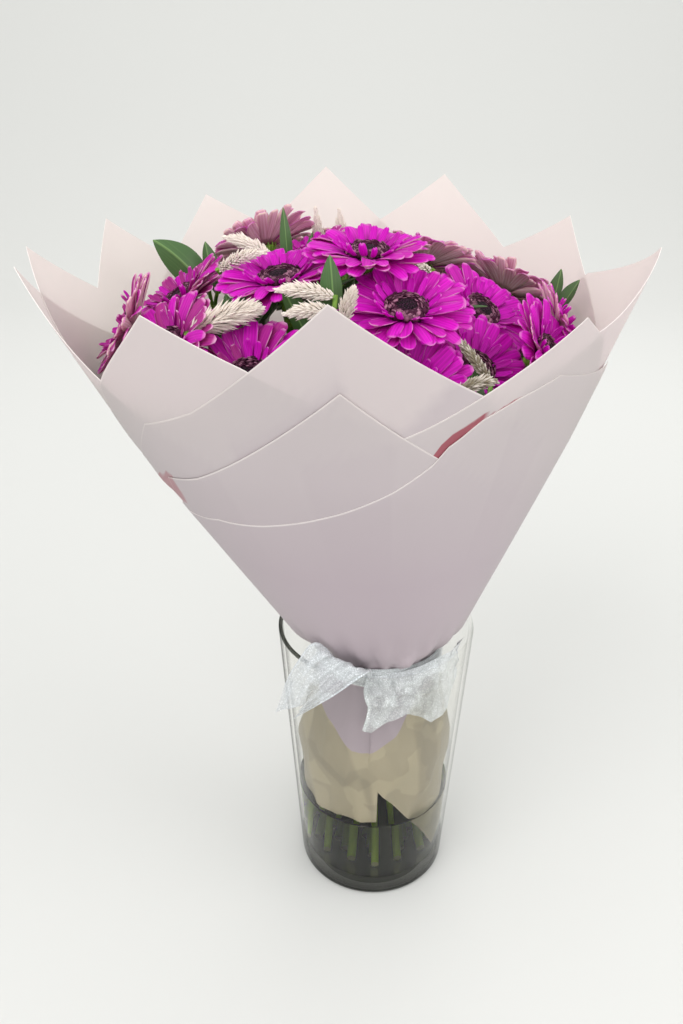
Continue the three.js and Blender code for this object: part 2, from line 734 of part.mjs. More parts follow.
// Places round the bind, closest first: the middle, then rings of six, twelve and eighteen
function bindPlaces(count) {
  const places = [{ radius: 0, angle: 0 }];
  for (let ring = 1; places.length < count; ring += 1) {
    for (let k = 0; k < 6 * ring; k += 1) {
      const [side, step] = [Math.floor(k / ring), (k % ring) / ring];
      const corner = new THREE.Vector2(ring, 0).rotateAround(new THREE.Vector2(), (side * Math.PI) / 3);
      const far = new THREE.Vector2(ring, 0).rotateAround(new THREE.Vector2(), ((side + 1) * Math.PI) / 3);
      const spot = corner.lerp(far, step).multiplyScalar(STEM_PITCH);
      places.push({ radius: spot.length(), angle: spot.angle() });
    }
  }
  return places.slice(0, count);
}

const group = new THREE.Group();

function addMesh(name, geometry, colour, roughness, metalness = 0) {
  const material = new THREE.MeshStandardMaterial({ color: colour, roughness, metalness });
  const mesh = new THREE.Mesh(geometry, material);
  mesh.name = name;
  group.add(mesh);
  return mesh;
}

// Every stem runs from its head through the bind to a place on the vase's floor
const HEADS = [
  ...BLOOMS.map(({ at, tilt, faces }) => ({
    top: new THREE.Vector3(...at).addScaledVector(facing(tilt, faces), CALYX_FOOT + 2),
    along: facing(tilt, faces),
    radius: STEM_RADIUS,
  })),
  ...[...CELOSIA, ...LEAVES].map(({ joint }) => {
    const top = new THREE.Vector3(...joint);
    return { top, along: top.clone().sub(SPRAY_SOURCE).normalize(), radius: SPRAY_STEM_RADIUS };
  }),
];

function stemCurves() {
  const order = HEADS.map((head, k) => ({ head, k, reach: Math.hypot(head.top.x - 3, head.top.y) }));
  order.sort((a, b) => a.reach - b.reach);
  const places = bindPlaces(HEADS.length);
  const curves = [];
  const rings = [[0, 1], [1, 7], [7, 19], [19, 37]];
  for (const [first, end] of rings) {
    const heads = order.slice(first, end);
    const spots = places.slice(first, end);
    heads.sort((a, b) => Math.atan2(a.head.top.y, a.head.top.x) - Math.atan2(b.head.top.y, b.head.top.x));
    spots.sort((a, b) => THREE.MathUtils.euclideanModulo(a.angle + Math.PI, 2 * Math.PI)
      - THREE.MathUtils.euclideanModulo(b.angle + Math.PI, 2 * Math.PI));
    heads.forEach(({ head, k }, m) => {
      const spot = spots[m];
      const x = TIE_CENTRE_X + spot.radius * Math.cos(spot.angle);
      const y = spot.radius * Math.sin(spot.angle);
      const neck = head.top.clone().addScaledVector(head.along, -NECK_LENGTH);
      const spread = FOOT_SPREAD * spot.radius;
      const turn = spot.angle + FOOT_TURN;
      const foot = new THREE.Vector3(spread * Math.cos(turn), spread * Math.sin(turn), GLASS_FLOOR + 2);
      const [top, bottom] = [BIND_TOP - BUNDLE_GRIP, BIND_BOTTOM + BUNDLE_GRIP];
      const start = new THREE.Vector3(x, y, top);
      curves[k] = {
        upper: new THREE.CatmullRomCurve3([start, neck, head.top], false, 'centripetal'),
        lower: new THREE.LineCurve3(new THREE.Vector3(x, y, bottom), foot),
      };
    });
  }
  return curves;
}

// The pieces

const stemPaths = stemCurves();
const calyxes = BLOOMS.map(({ at, tilt, faces }) => {
  const turn = new THREE.Quaternion().setFromUnitVectors(up, facing(tilt, faces));
  return calyx().applyQuaternion(turn).translate(...at);
});
const stems = stemPaths.flatMap(({ upper, lower }, k) => [
  stemAlong(upper, HEADS[k].radius, STEM_SIDES, STEM_STEPS),
  stemAlong(lower, HEADS[k].radius, STEM_SIDES, 1),
]);
const bundle = new THREE.CylinderGeometry(BUNDLE_RADIUS, BUNDLE_RADIUS, BIND_TOP - BIND_BOTTOM, 12)
  .rotateX(Math.PI / 2)
  .translate(TIE_CENTRE_X, 0, (BIND_TOP + BIND_BOTTOM) / 2);
// The holes in the water start over its level and end under the feet of the stems
const stemHoles = stemPaths.map(({ lower }, k) => {
  const drop = new THREE.LineCurve3(lower.getPoint(0.5), lower.getPoint(1.06));
  return stemAlong(drop, HEADS[k].radius + 2 * CLEARANCE, STEM_SIDES, 1);
});

addMesh('vase', vase(), 0xc9cdc8, 0.05);
addMesh('water', cut(waterBody(), [...stemHoles, skirtNotch()]), 0x3b3a34, 0.05);
addMesh('stems', joined([...stems, welded(bundle), ...calyxes]), 0x5f8a35, 0.55);
for (const [name, sheet] of Object.entries(WRAP_SHEETS)) {
  addMesh(name, wrapSheet(sheet), 0xdccfce, 0.5);
}
addMesh('ribbon', ribbon(), 0xe6e9ea, 0.4);
BLOOMS.forEach(({ at, tilt, faces, size }, k) => {
  const label = `gerbera_${String(k + 1).padStart(2, '0')}`;
  const turn = new THREE.Quaternion().setFromUnitVectors(up, facing(tilt, faces));
  const petals = addMesh(`${label}_petals`, bloomPetals(size), 0xc2189f, 0.6);
  const disc = addMesh(`${label}_disc`, bloomDisc(size), 0x3a1420, 0.85);
  for (const mesh of [petals, disc]) {
    mesh.quaternion.copy(turn);
    mesh.position.set(...at);
  }
});

CELOSIA.forEach(({ joint, heads }, k) => {
  const solid = spray(joint, heads.map(({ base }) => base), heads.map(celosiaHead));
  addMesh(`celosia_${String(k + 1).padStart(2, '0')}`, solid, 0xd9cfb4, 0.85);
});
LEAVES.forEach(({ joint, blades }, k) => {
  const solid = spray(joint, blades.map(({ base }) => base), blades.map(leafBlade));
  addMesh(`leaf_spray_${String(k + 1).padStart(2, '0')}`, solid, 0x3f6b32, 0.5);
});

export default group;
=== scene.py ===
# A bouquet of gerberas in sheets of flower wrap, tied with organza and standing in a glass vase:
# the finish of every surface. Lengths in the tables are millimetres, and the front faces -Y.
import math
import random

import bpy
import numpy as np
from bpy.props import FloatProperty, FloatVectorProperty, IntProperty, PointerProperty
from mathutils import Matrix, Vector


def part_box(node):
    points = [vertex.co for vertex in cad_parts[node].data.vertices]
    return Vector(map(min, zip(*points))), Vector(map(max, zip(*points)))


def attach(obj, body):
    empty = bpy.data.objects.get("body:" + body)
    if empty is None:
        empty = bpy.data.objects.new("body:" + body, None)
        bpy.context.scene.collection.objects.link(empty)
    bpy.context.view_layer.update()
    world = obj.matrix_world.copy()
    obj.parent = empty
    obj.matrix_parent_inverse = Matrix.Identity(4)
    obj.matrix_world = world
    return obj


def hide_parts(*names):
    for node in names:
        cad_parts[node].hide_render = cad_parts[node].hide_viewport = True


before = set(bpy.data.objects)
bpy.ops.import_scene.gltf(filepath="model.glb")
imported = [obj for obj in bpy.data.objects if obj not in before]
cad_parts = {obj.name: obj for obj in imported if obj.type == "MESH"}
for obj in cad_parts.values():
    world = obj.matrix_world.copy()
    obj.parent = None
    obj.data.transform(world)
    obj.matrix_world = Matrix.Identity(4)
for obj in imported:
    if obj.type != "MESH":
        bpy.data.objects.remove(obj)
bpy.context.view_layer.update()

bl_info = {
    "name": "Gerbera bouquet in a vase",
    "version": (1, 0, 0),
    "blender": (4, 5, 0),
    "location": "View3D > Sidebar > Bouquet",
    "description": "Models the blooms, foliage, flower wrap, ribbon, water and vase of a bouquet",
    "category": "Add Mesh",
}

MM = 0.001
# Radius of a full bloom, at which the petals are drawn
FULL_BLOOM = 38 * MM
VASE_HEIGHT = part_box("vase")[1].z / MM
MOUTH_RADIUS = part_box("vase")[1].x / MM
WATER_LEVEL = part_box("water")[1].z / MM
FOOT_RADIUS = 60
GLASS_WALL = 3.2
GLASS_FLOOR = 13

# Outer sheet of wrap: height, centre x and y, half width x and y
WRAP_PROFILE = [
    (18, 0, 0, 57.4, 57.4),
    (84, 0, 0, 61.4, 61.4),
    (130, 0, 0, 64.1, 64.1),
    (199, 3, 0, 47.5, 47.5),
    (222, 3, 0, 47, 47),
    (237, 0, 0.5, 67, 61),
    (400, -21.5, 9.5, 154, 138.6),
    (560, -36.5, 17.5, 226, 203),
]
# Each sheet lies this far inside the next, and three of them run on as a skirt under the tie
SHEET_STEP = 0.55
TIE_FOOT = 199
SKIRT_TOP = 197
# Rows of points at these depths under a sheet's crown, the last two with a painted pale rim
RIM_ROWS = [1.1, 0.7, 0.0]
# The cone that a flat sheet is rolled into: the height of its tip and half its angle
ROLL_APEX = 115
ROLL_ANGLE = math.radians(27.5)

# Each sheet: layer from the outside, crown corners and skirt corners as azimuth and height
WRAP_SHEETS = {
    "wrap_outer_right": (
        0,
        [(-60, 352), (-40, 364), (-25, 369), (-12, 378), (-2, 388.5), (9, 405), (16.5, 421.5),
         (19.5, 433), (26, 447.5), (33, 457), (42, 466), (70, 452), (108, 352)],
        [(-60, TIE_FOOT), (-8, TIE_FOOT), (-6, 123), (38, 61), (59, 26), (98, 66), (98.6, 84),
         (102, TIE_FOOT), (108, TIE_FOOT)],
    ),
    "wrap_outer_front": (
        1,
        [(-106, 330), (-58, 362), (-51, 388), (-36, 400), (0.3, 472.2), (60, 368), (84, 336)],
        [(-106, TIE_FOOT), (-104, 78), (1, 78), (3, TIE_FOOT), (84, TIE_FOOT)],
    ),
    "wrap_front_right": (2, [(-8, 424), (25, 463), (43, 500), (53, 480.5), (86, 392)], None),
    "wrap_front": (
        3, [(-76, 376), (-43.5, 433), (-28.4, 450), (0, 522), (25, 463), (44, 424)], None,
    ),
    "wrap_front_left": (4, [(-92, 378), (-54, 450.5), (-29, 508), (-15, 483), (8, 450)], None),
    "wrap_left": (5, [(-112, 430), (-75, 508), (-52, 455), (-30, 415)], None),
    "wrap_right": (4, [(34, 464), (50, 486), (81, 516), (108, 482), (124, 446)], None),
    "wrap_back_left": (6, [(-152, 452), (-123, 511.3), (-108, 472), (-91, 510), (-64, 452)], None),
    "wrap_back_right": (
        3, [(92, 444), (120.5, 514.6), (137.5, 485), (154.8, 533), (182, 476)], None,
    ),
    "wrap_back": (
        5,
        [(158, 470), (181.3, 536.6), (197, 495), (209.8, 519.5), (238, 444)],
        [(158, TIE_FOOT), (159, 78), (236, 78), (238, TIE_FOOT)],
    ),
}

# Foot of the lilac fold that lies over the skirt, and flat facets between the skirt's sharp folds,
# which take painted shade: azimuths and heights, the facets' corners clockwise
POCKET_FOOT = [
    (-76, 197), (-64, 178), (-52, 169), (-42, 164.5), (-34, 159), (-27, 151.5), (-20, 146.8),
    (-13, 146), (-6, 148), (0, 151), (6, 155), (12, 160), (18, 166), (24, 176), (30, 188),
    (36, 199),
]
SKIRT_FACETS = [
    [(-66, 168), (-30, 160), (-12, 127), (-24.4, 112), (-66, 134)],
    [(-13, 127), (-4, 122), (1, 70)],
    [(30, 168), (58, 160), (52, 120), (36, 96)],
]

# Loose loop at the left edge, painted pink for the shade and bounced light in its fold: azimuths
# and heights, clockwise
PINK_LOOP = [
    (-47.5, 396), (-50.5, 374), (-54, 363), (-60, 360), (-64, 364), (-64, 376), (-57.5, 385),
]
# Painted pink wedge under a turned edge, for the shade and bounced light between the sheets: its
# first and last azimuth, the degrees in which each side rises by its height, and that height
WEDGE_ENDS = (14, 34)
WEDGE_SIDES = (3, 14)
WEDGE_HEIGHT = 7
# Bulges of the sheets, two at the tie and the loop: azimuth, height, half width in degrees and in
# height, and how far each stands out
BULGES = [(-33, 229, 9, 7, 6.5), (19, 229, 10, 7, 6.5), (-59, 377, 6, 9, 2.0)]
# Pleats at the tie: the height of their middle, their reach up and down, their depth and count
PLEAT_HEIGHT, PLEAT_REACH, PLEAT_DEPTH, PLEAT_COUNT = 232, 26, 1.3, 23
# Sharp creases of the skirt: depth, angle in a turn, height for a radian of it, and start
SKIRT_CREASES = [(2.0, 3.3, 31, 0.3), (1.8, 5.2, -19, 1.9), (1.2, 9.1, 40, 0)]
# Azimuths between which the corner of the front sheet lies in the outer sheet's shade, and the
# line right of which another sheet lies behind it: azimuth and height, and degrees for a
# millimetre of height. Each counts as so many sheets.
SHADED_CORNER = (-24, 2)
SHADE_REACH = 9
SHEET_BEHIND = (10, 449, 0.26)
SHADE_SHEETS = 4
# Heights between which the sheets part, and what each covering sheet and the shade of the front
# add to the stacked look above and below
PARTING = [320, 450]
PARTED_SHARES = (0.07, 0.38)
STACKED_SHARES = (0.75, 0.2)
RIM_SHARE = 0.55
# Millimetres round the skirt in a degree
DEGREE_WIDTH = 1.05
# A distance well outside an outline
FAR = 20.0


def srgb(code):
    """An sRGB hex colour as linear red, green and blue."""
    parts = [int(code[k:k + 2], 16) / 255 for k in (1, 3, 5)]
    return tuple(c / 12.92 if c <= 0.04045 else ((c + 0.055) / 1.055) ** 2.4 for c in parts)


def colour_prop(name, code, description):
    """A colour in the add-on's settings."""
    return FloatVectorProperty(
        name=name, description=description, subtype="COLOR", min=0, max=1, default=srgb(code)
    )


def length_prop(name, default, low, description):
    """A length in the add-on's settings, in metres."""
    return FloatProperty(
        name=name, description=description, subtype="DISTANCE", default=default, min=low
    )


class VaseSettings(bpy.types.PropertyGroup):
    """The glass vase and its water."""

    sides: IntProperty(name="Sides", description="Steps round the glass", default=96, min=24)
    glass: colour_prop("Glass", "#FEFEFD", "Tint of the clear soda-lime glass")
    # Painted shade: the dark grey of the glass seen edge on, in its lip and in its foot
    glass_edge_shade: colour_prop("Glass edge", "#45473F", "Grey of the glass where it is seen edge on")
    water: colour_prop("Water", "#6A6C40", "Murky water that the stems have stood in")


class WrapSettings(bpy.types.PropertyGroup):
    """The sheets of flower wrap."""

    thickness: length_prop("Thickness", 0.35 * MM, 0.0001, "Of one sheet")
    single: colour_prop("Single sheet", "#F3EDEA", "Milky white of one sheet against the light")
    # Also carries painted shade, where the sheets face the front and under the outer sheet
    stacked: colour_prop("Stacked sheets", "#AFA1A9", "Lilac grey where many sheets lie together")
    pocket: colour_prop("Lilac fold", "#9C9098", "Rounded fold of many sheets over the wet skirt")
    # Painted shade: the creases, flat facets and crumpled facets of the wet skirt
    shade: colour_prop("Crease", "#746D5F", "Bottom of the creases in the wet skirt")
    wet: colour_prop("Wet sheet", "#A29881", "Beige of the skirt inside the vase")
    # Painted shade and light bounced between the sheets, deep pink in the wedge and the loose loop
    fold: colour_prop("Turned fold", "#B0606C", "Deep pink inside of a turned edge")
    edge: colour_prop("Edge", "#F4EEEB", "Cut edges, which catch the light")


class RibbonSettings(bpy.types.PropertyGroup):
    """The sheer ribbon."""

    band: length_prop("Band", 17 * MM, 0.005, "Height of the band round the wrap")
    glint: colour_prop("Glitter", "#E6EAEE", "Bright flecks on the threads")
    thread: colour_prop("Thread", "#B6BABD", "White monofilament threads of the organza")


class BloomSettings(bpy.types.PropertyGroup):
    """The gerbera blooms."""

    radius: length_prop("Radius", FULL_BLOOM, 0.02, "Of a full bloom")
    petals: IntProperty(name="Petals", description="In the lowest ring", default=24, min=12)
    face: colour_prop("Petal face", "#E616D4", "Magenta upper side of the petals")
    # Also the painted shade in the grooves
    deep_and_groove_shade: colour_prop("Petal base", "#B00C9C", "Deeper magenta in the grooves and near the disc")
    # Painted light: the underside colours are much paler than its dusky rose, to light the
    # undersides that face down into the bouquet's shade; the grooves also take painted shade
    back: colour_prop("Petal back", "#FFDCE6", "Dusky rose underside of the petals")
    back_deep: colour_prop("Back grooves", "#D8949C", "Wine and rust grooves of the underside")
    back_rim: colour_prop("Back rim", "#FFEBD8", "Cream rims of the underside")
    aged: colour_prop("Aged petal", "#A8486E", "Wine and rust of petals that begin to wither")
    rim: colour_prop("Petal rim", "#F0B4DE", "Pale rims and tips of the petals")
    eye: colour_prop("Eye", "#1C0716", "Almost black closed florets in the middle")
    ring: colour_prop("Ring base", "#4A0C34", "Dark wine red of the ring florets' tubes")
    bud: colour_prop("Eye tips", "#3A1430", "Tips of the closed florets")
    floret: colour_prop("Ring florets", "#CC8CA8", "Dusty pink open florets round the eye")


class FoliageSettings(bpy.types.PropertyGroup):
    """Stems, leaves and celosia."""

    stem: colour_prop("Stem", "#7FA63C", "Fresh green of the flower stems")
    stem_dark: colour_prop("Stem shade", "#4F7427", "Deeper green of the stems' mottle")
    pith: colour_prop("Cut stem", "#F4F6B8", "Pale pith where the stems are cut")
    # Painted light: the stems under the water line are brighter, to show through the murky water
    stem_lit_in_water: colour_prop("Wet stem", "#CDF052", "Bright green of the stems in the water")
    leaf: colour_prop("Leaf", "#48693A", "Dark green of the leaf blades")
    vein: colour_prop("Vein", "#6E9054", "Paler midribs and veins")
    plume: colour_prop("Plume", "#F6EDE4", "Cream tips of the celosia florets")
    plume_base: colour_prop("Plume base", "#938872", "Olive bases of the celosia florets")


class StageSettings(bpy.types.PropertyGroup):
    """Floor and the light of the sky."""

    floor: colour_prop("Floor", "#D0D0CE", "Plain pale floor")
    fill: FloatProperty(name="Fill", description="Strength of the soft sky", default=1.12, min=0)


def deselect():
    """Leaves nothing selected and no active object."""
    bpy.ops.object.select_all(action="DESELECT")
    bpy.context.view_layer.objects.active = None


def select_only(*objects):
    """Leaves just these objects selected, and the first one active."""
    deselect()
    for obj in objects:
        obj.select_set(True)
    bpy.context.view_layer.objects.active = objects[0]


def named(name):
    """The object that an operator has just added, under its piece's name."""
    obj = bpy.context.object
    obj.name = name
    obj.data.name = name
    return obj


def merge_doubles():
    """Merges the doubled points of the active object."""
    bpy.ops.object.mode_set(mode="EDIT")
    bpy.ops.mesh.select_all(action="SELECT")
    bpy.ops.mesh.remove_doubles(threshold=1e-5)
    bpy.ops.object.mode_set(mode="OBJECT")


def apply_modifier(obj, kind, **settings):
    """Adds a modifier with its settings and applies it."""
    bpy.context.view_layer.objects.active = obj
    modifier = obj.modifiers.new(kind.title(), kind)
    for key, value in settings.items():
        setattr(modifier, key, value)
    bpy.ops.object.modifier_apply(modifier=modifier.name)


def finish_piece(obj, materials, node):
    """Gives a finished piece its materials and its body, and hides the imported part of the node
    that it stands for.
    """
    for material in materials:
        obj.data.materials.append(material)
    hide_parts(node)
    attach(obj, "root")


def add_node(material, kind, inputs=None, output=0, **settings):
    """Adds a shader node with its settings, values and links, and gives one of its outputs."""
    node = material.node_tree.nodes.new(f"ShaderNode{kind}")
    for key, value in settings.items():
        setattr(node, key, value)
    for key, value in (inputs or {}).items():
        socket = node.inputs[key]
        if isinstance(value, bpy.types.NodeSocket):
            material.node_tree.links.new(value, socket)
        elif socket.type == "RGBA":
            socket.default_value = (*value, 1)
        else:
            socket.default_value = value
    return node.outputs[output] if node.outputs else None


def new_material(name):
    """A node material that is still empty."""
    material = bpy.data.materials.new(name)
    material.use_nodes = True
    material.node_tree.nodes.clear()
    return material


def off_middle(material, plan):
    """How far a point is from the middle line of a piece's flat plan, up to a half."""
    across = add_node(material, "SeparateXYZ", {"Vector": plan}, "X")
    from_middle = add_node(material, "Math", {0: across, 1: 0.5}, operation="SUBTRACT")
    return add_node(material, "Math", {0: from_middle}, operation="ABSOLUTE")


def drawn_lines(material, plan, across, along):
    """Soft lines that run along a piece's flat plan, so many across it and along it."""
    laid = add_node(material, "Mapping", {"Vector": plan, "Scale": (across, along, 1.0)})
    return add_node(material, "TexNoise", {"Vector": laid, "Scale": 1.0})


def crumpled(material, place, wander, shift, facets):
    """Facets of a grey each, with ragged outlines, for the painted shade of crushed film and for
    the
    layers of crushed cloth: waves of the outline and facets in a metre, and how far the waves
    shift it."""
    shaken = add_node(material, "TexNoise", {"Vector": place, "Scale": wander}, "Color")
    waves = {0: shaken, 1: (shift, shift, shift)}
    spread = add_node(material, "VectorMath", waves, operation="MULTIPLY")
    moved = add_node(material, "VectorMath", {0: place, 1: spread}, operation="ADD")
    return add_node(material, "TexVoronoi", {"Vector": moved, "Scale": facets}, "Color")


def lit_through(material, skin, passing):
    """Ends the material of a thin surface that lets a share of the light through."""
    surface = add_node(material, "BsdfPrincipled", skin)
    through = add_node(material, "BsdfTranslucent", {"Color": skin["Base Color"]})
    mix = add_node(material, "MixShader", {0: passing, 1: surface, 2: through})
    add_node(material, "OutputMaterial", {"Surface": mix})
    return material


def soda_lime_glass(tint, edge_on_shade):
    """Pressed soda-lime glass: colourless through the thin wall, which hardly bends the view, with
    painted grey shade where it is seen edge on, and with the sharp reflections of a polished
    surface. The dark that the rounded lip and the thick foot gather from what is behind them is
    painted shade too."""
    material = new_material("soda_lime_glass")
    place = add_node(material, "TexCoord", output="Object")
    across = add_node(material, "SeparateXYZ", {"Vector": place}, "X")
    height = add_node(material, "SeparateXYZ", {"Vector": place}, "Z")
    # Painted shade: the lip, the top 2 mm, is painted dark at the left
    over_wall = {"Value": height, "From Min": 0.2288, "From Max": 0.2298}
    lip = add_node(material, "MapRange", over_wall)
    shaded_lip_side = {"Value": across, "From Min": -0.03, "From Max": -0.05, "To Max": 0.95}
    left = add_node(material, "MapRange", shaded_lip_side)
    painted_dark_lip = add_node(material, "Math", {0: lip, 1: left}, operation="MULTIPLY")
    # Painted shade: the foot is darkest in its lowest 8 mm
    in_foot = {"Value": height, "From Min": 0.02, "From Max": 0.008, "To Max": 0.62}
    foot = add_node(material, "MapRange", in_foot)
    painted_dark_lip_and_foot = add_node(material, "Math", {0: painted_dark_lip, 1: foot}, operation="MAXIMUM")
    # Painted shade: the wall seen edge on is dark too, less so at the right,
    # before a brighter part of the room
    slant = add_node(material, "LayerWeight", {"Blend": 0.5}, "Facing")
    steepest = add_node(material, "MapRange", {"Value": slant, "From Min": 0.8, "From Max": 0.97})
    from_left = {"Value": across, "From Max": 0.05, "To Min": 1.0, "To Max": 0.4}
    unlit = add_node(material, "MapRange", from_left)
    thick = add_node(material, "Math", {0: steepest, 1: unlit}, operation="MULTIPLY")
    dark = add_node(material, "Math", {0: painted_dark_lip_and_foot, 1: thick}, operation="MAXIMUM")
    tones = {0: dark, 6: tint, 7: edge_on_shade}
    colour = add_node(material, "Mix", tones, 2, data_type="RGBA")
    passed = add_node(material, "BsdfTransparent", {"Color": colour})
    gloss = add_node(material, "BsdfGlossy", {"Color": srgb("#FFFFFF"), "Roughness": 0.03})
    # Reflection grows with the fifth power of the slant, the same from inside the wall
    steep = add_node(material, "Math", {0: slant, 1: 5.0}, operation="POWER")
    mirror = add_node(material, "MapRange", {"Value": steep, "To Min": 0.014, "To Max": 0.6})
    mix = add_node(material, "MixShader", {0: mirror, 1: passed, 2: gloss})
    add_node(material, "OutputMaterial", {"Surface": mix})
    return material


def standing_water(tint):
    """Water that stems have stood in for days: clear at the wall, murky a finger's width in."""
    material = new_material("standing_water")
    clear = srgb("#F3F6F1")
    surface = {"Base Color": clear, "Roughness": 0.0, "IOR": 1.33, "Transmission Weight": 1.0}
    body = add_node(material, "BsdfPrincipled", surface)
    # Light passes the surface straight, so that the stems in it are lit
    passed = add_node(material, "BsdfTransparent", {"Color": clear})
    shadow = add_node(material, "LightPath", output="Is Shadow Ray")
    mix = add_node(material, "MixShader", {0: shadow, 1: body, 2: passed})
    # Half of the light is gone after some 20 mm
    murk = add_node(material, "VolumeAbsorption", {"Color": tint, "Density": 42.0})
    add_node(material, "OutputMaterial", {"Surface": mix, "Volume": murk})
    return material


def flower_film(settings):
    """Frosted polypropylene flower film: matte and milky, and light passes it. Sheets that lie on
    each other look lilac, with painted shade where they face the front and under the outer sheet.
    The wet skirt looks beige, with painted shade in its creases and crumpled facets, and a turned
    edge and a loose loop are painted deep pink for the shade and bounced light inside them."""
    material = new_material("frosted_flower_film")
    place = add_node(material, "TexCoord", output="Object")
    # Painted shade of crumpled facets some 20 mm across, only where the skirt is wet
    cells = crumpled(material, place, 30.0, 0.02, 50.0)
    shades = {"Value": cells, "From Min": 0.3, "From Max": 0.7, "To Max": 0.3}
    facet_shade = add_node(material, "MapRange", shades)
    # Each share of the film with its colour, and for a distance from an outline half the width of
    # its soft edge and how much of the colour it takes
    layers = (
        # Stacked lilac, with painted shade of the front and of the outer sheet
        ("stack", settings.stacked, None, None),
        ("wet", settings.wet, None, None),
        # Painted shade in the skirt's flat facets between its sharp folds
        ("crease_shade", settings.shade, 1.6, 0.42),
        ("pocket", settings.pocket, 0.5, 1.0),
        # Painted shade and bounced light, deep pink in the wedge and the loose loop
        ("rose", settings.fold, 0.5, 1.0),
        ("rim", settings.edge, None, None),
    )
    colour = settings.single
    for name, tone, soft, most in layers:
        share = add_node(material, "Attribute", output="Fac", attribute_name=name)
        if soft:
            outline = {"Value": share, "From Min": -soft, "From Max": soft, "To Max": most}
            share = add_node(material, "MapRange", outline)
        colour = add_node(material, "Mix", {0: share, 6: colour, 7: tone}, 2, data_type="RGBA")
        if name == "wet":
            # Painted shade in the wet skirt's crumpled facets
            creased = add_node(material, "Math", {0: facet_shade, 1: share}, operation="MULTIPLY")
            tones = {0: creased, 6: colour, 7: settings.shade}
            colour = add_node(material, "Mix", tones, 2, data_type="RGBA")
    # The frosting is 0.3 mm grit, drawn at 1 mm so that it shows
    grain = add_node(material, "TexNoise", {"Vector": place, "Scale": 1000.0})
    bump = add_node(material, "Bump", {"Height": grain, "Strength": 0.08, "Distance": 0.0002})
    skin = {"Base Color": colour, "Roughness": 0.5, "IOR": 1.49, "Normal": bump}
    # Less light passes where more sheets lie together
    stack = add_node(material, "Attribute", output="Fac", attribute_name="stack")
    passing = add_node(material, "MapRange", {"Value": stack, "To Min": 0.6, "To Max": 0.1})
    return lit_through(material, skin, passing)


def cut_edge(tone):
    """The cut edge of the film: a bright line, because it gathers the light of the sheet."""
    material = new_material("film_cut_edge")
    place = add_node(material, "TexCoord", output="Object")
    # Knife marks 0.5 mm apart
    marks = add_node(material, "TexNoise", {"Vector": place, "Scale": 2000.0})
    bump = add_node(material, "Bump", {"Height": marks, "Strength": 0.2, "Distance": 0.0001})
    skin = {"Base Color": tone, "Roughness": 0.3, "IOR": 1.49, "Normal": bump}
    return lit_through(material, skin, 0.3)


def nylon_organza(settings):
    """Sheer nylon organza: white threads with glitter flecks, half see-through, and whiter in its
    creases and at its woven edges."""
    material = new_material("nylon_organza")
    place = add_node(material, "TexCoord", output="Object")
    plan = add_node(material, "UVMap", uv_map="flat")
    # Painted glints of the glitter: real flecks are 0.2 mm across, drawn at 0.5 mm so that they
    # show
    flecks = add_node(material, "TexVoronoi", {"Vector": place, "Scale": 2000.0}, "Color")
    bright = {"Value": flecks, "From Min": 0.62, "From Max": 0.8}
    glint = add_node(material, "MapRange", bright)
    tones = {0: glint, 6: settings.thread, 7: settings.glint}
    colour = add_node(material, "Mix", tones, 2, data_type="RGBA")
    cloth = {"Base Color": colour, "Roughness": 0.35, "Sheen Weight": 0.2}
    woven = add_node(material, "BsdfPrincipled", cloth)
    clear = add_node(material, "BsdfTransparent")
    # The threads lie closer in the woven edge, 2 mm wide
    off = off_middle(material, plan)
    edges = {"Value": off, "From Min": 0.45, "From Max": 0.49, "To Max": 0.4}
    selvedge = add_node(material, "MapRange", edges)
    # Facets of crumpled cloth some 16 mm across, where it lies double
    cells = crumpled(material, place, 60.0, 0.012, 62.0)
    doubles = {"Value": cells, "From Min": 0.35, "From Max": 0.65, "To Min": -0.04, "To Max": 0.12}
    doubled = add_node(material, "MapRange", doubles)
    # Fine creases run along the ribbon, 5 mm apart on its 38 mm
    lines = drawn_lines(material, plan, 8.0, 2.6)
    creases = {"Value": lines, "From Min": 0.38, "From Max": 0.66, "To Min": 0.54, "To Max": 0.84}
    creased = add_node(material, "MapRange", creases)
    folded = add_node(material, "Math", {0: doubled, 1: creased}, operation="ADD")
    threads = {0: folded, 1: selvedge}
    weave = add_node(material, "Math", threads, operation="ADD", use_clamp=True)
    mix = add_node(material, "MixShader", {0: weave, 1: clear, 2: woven})
    add_node(material, "OutputMaterial", {"Surface": mix})
    return material


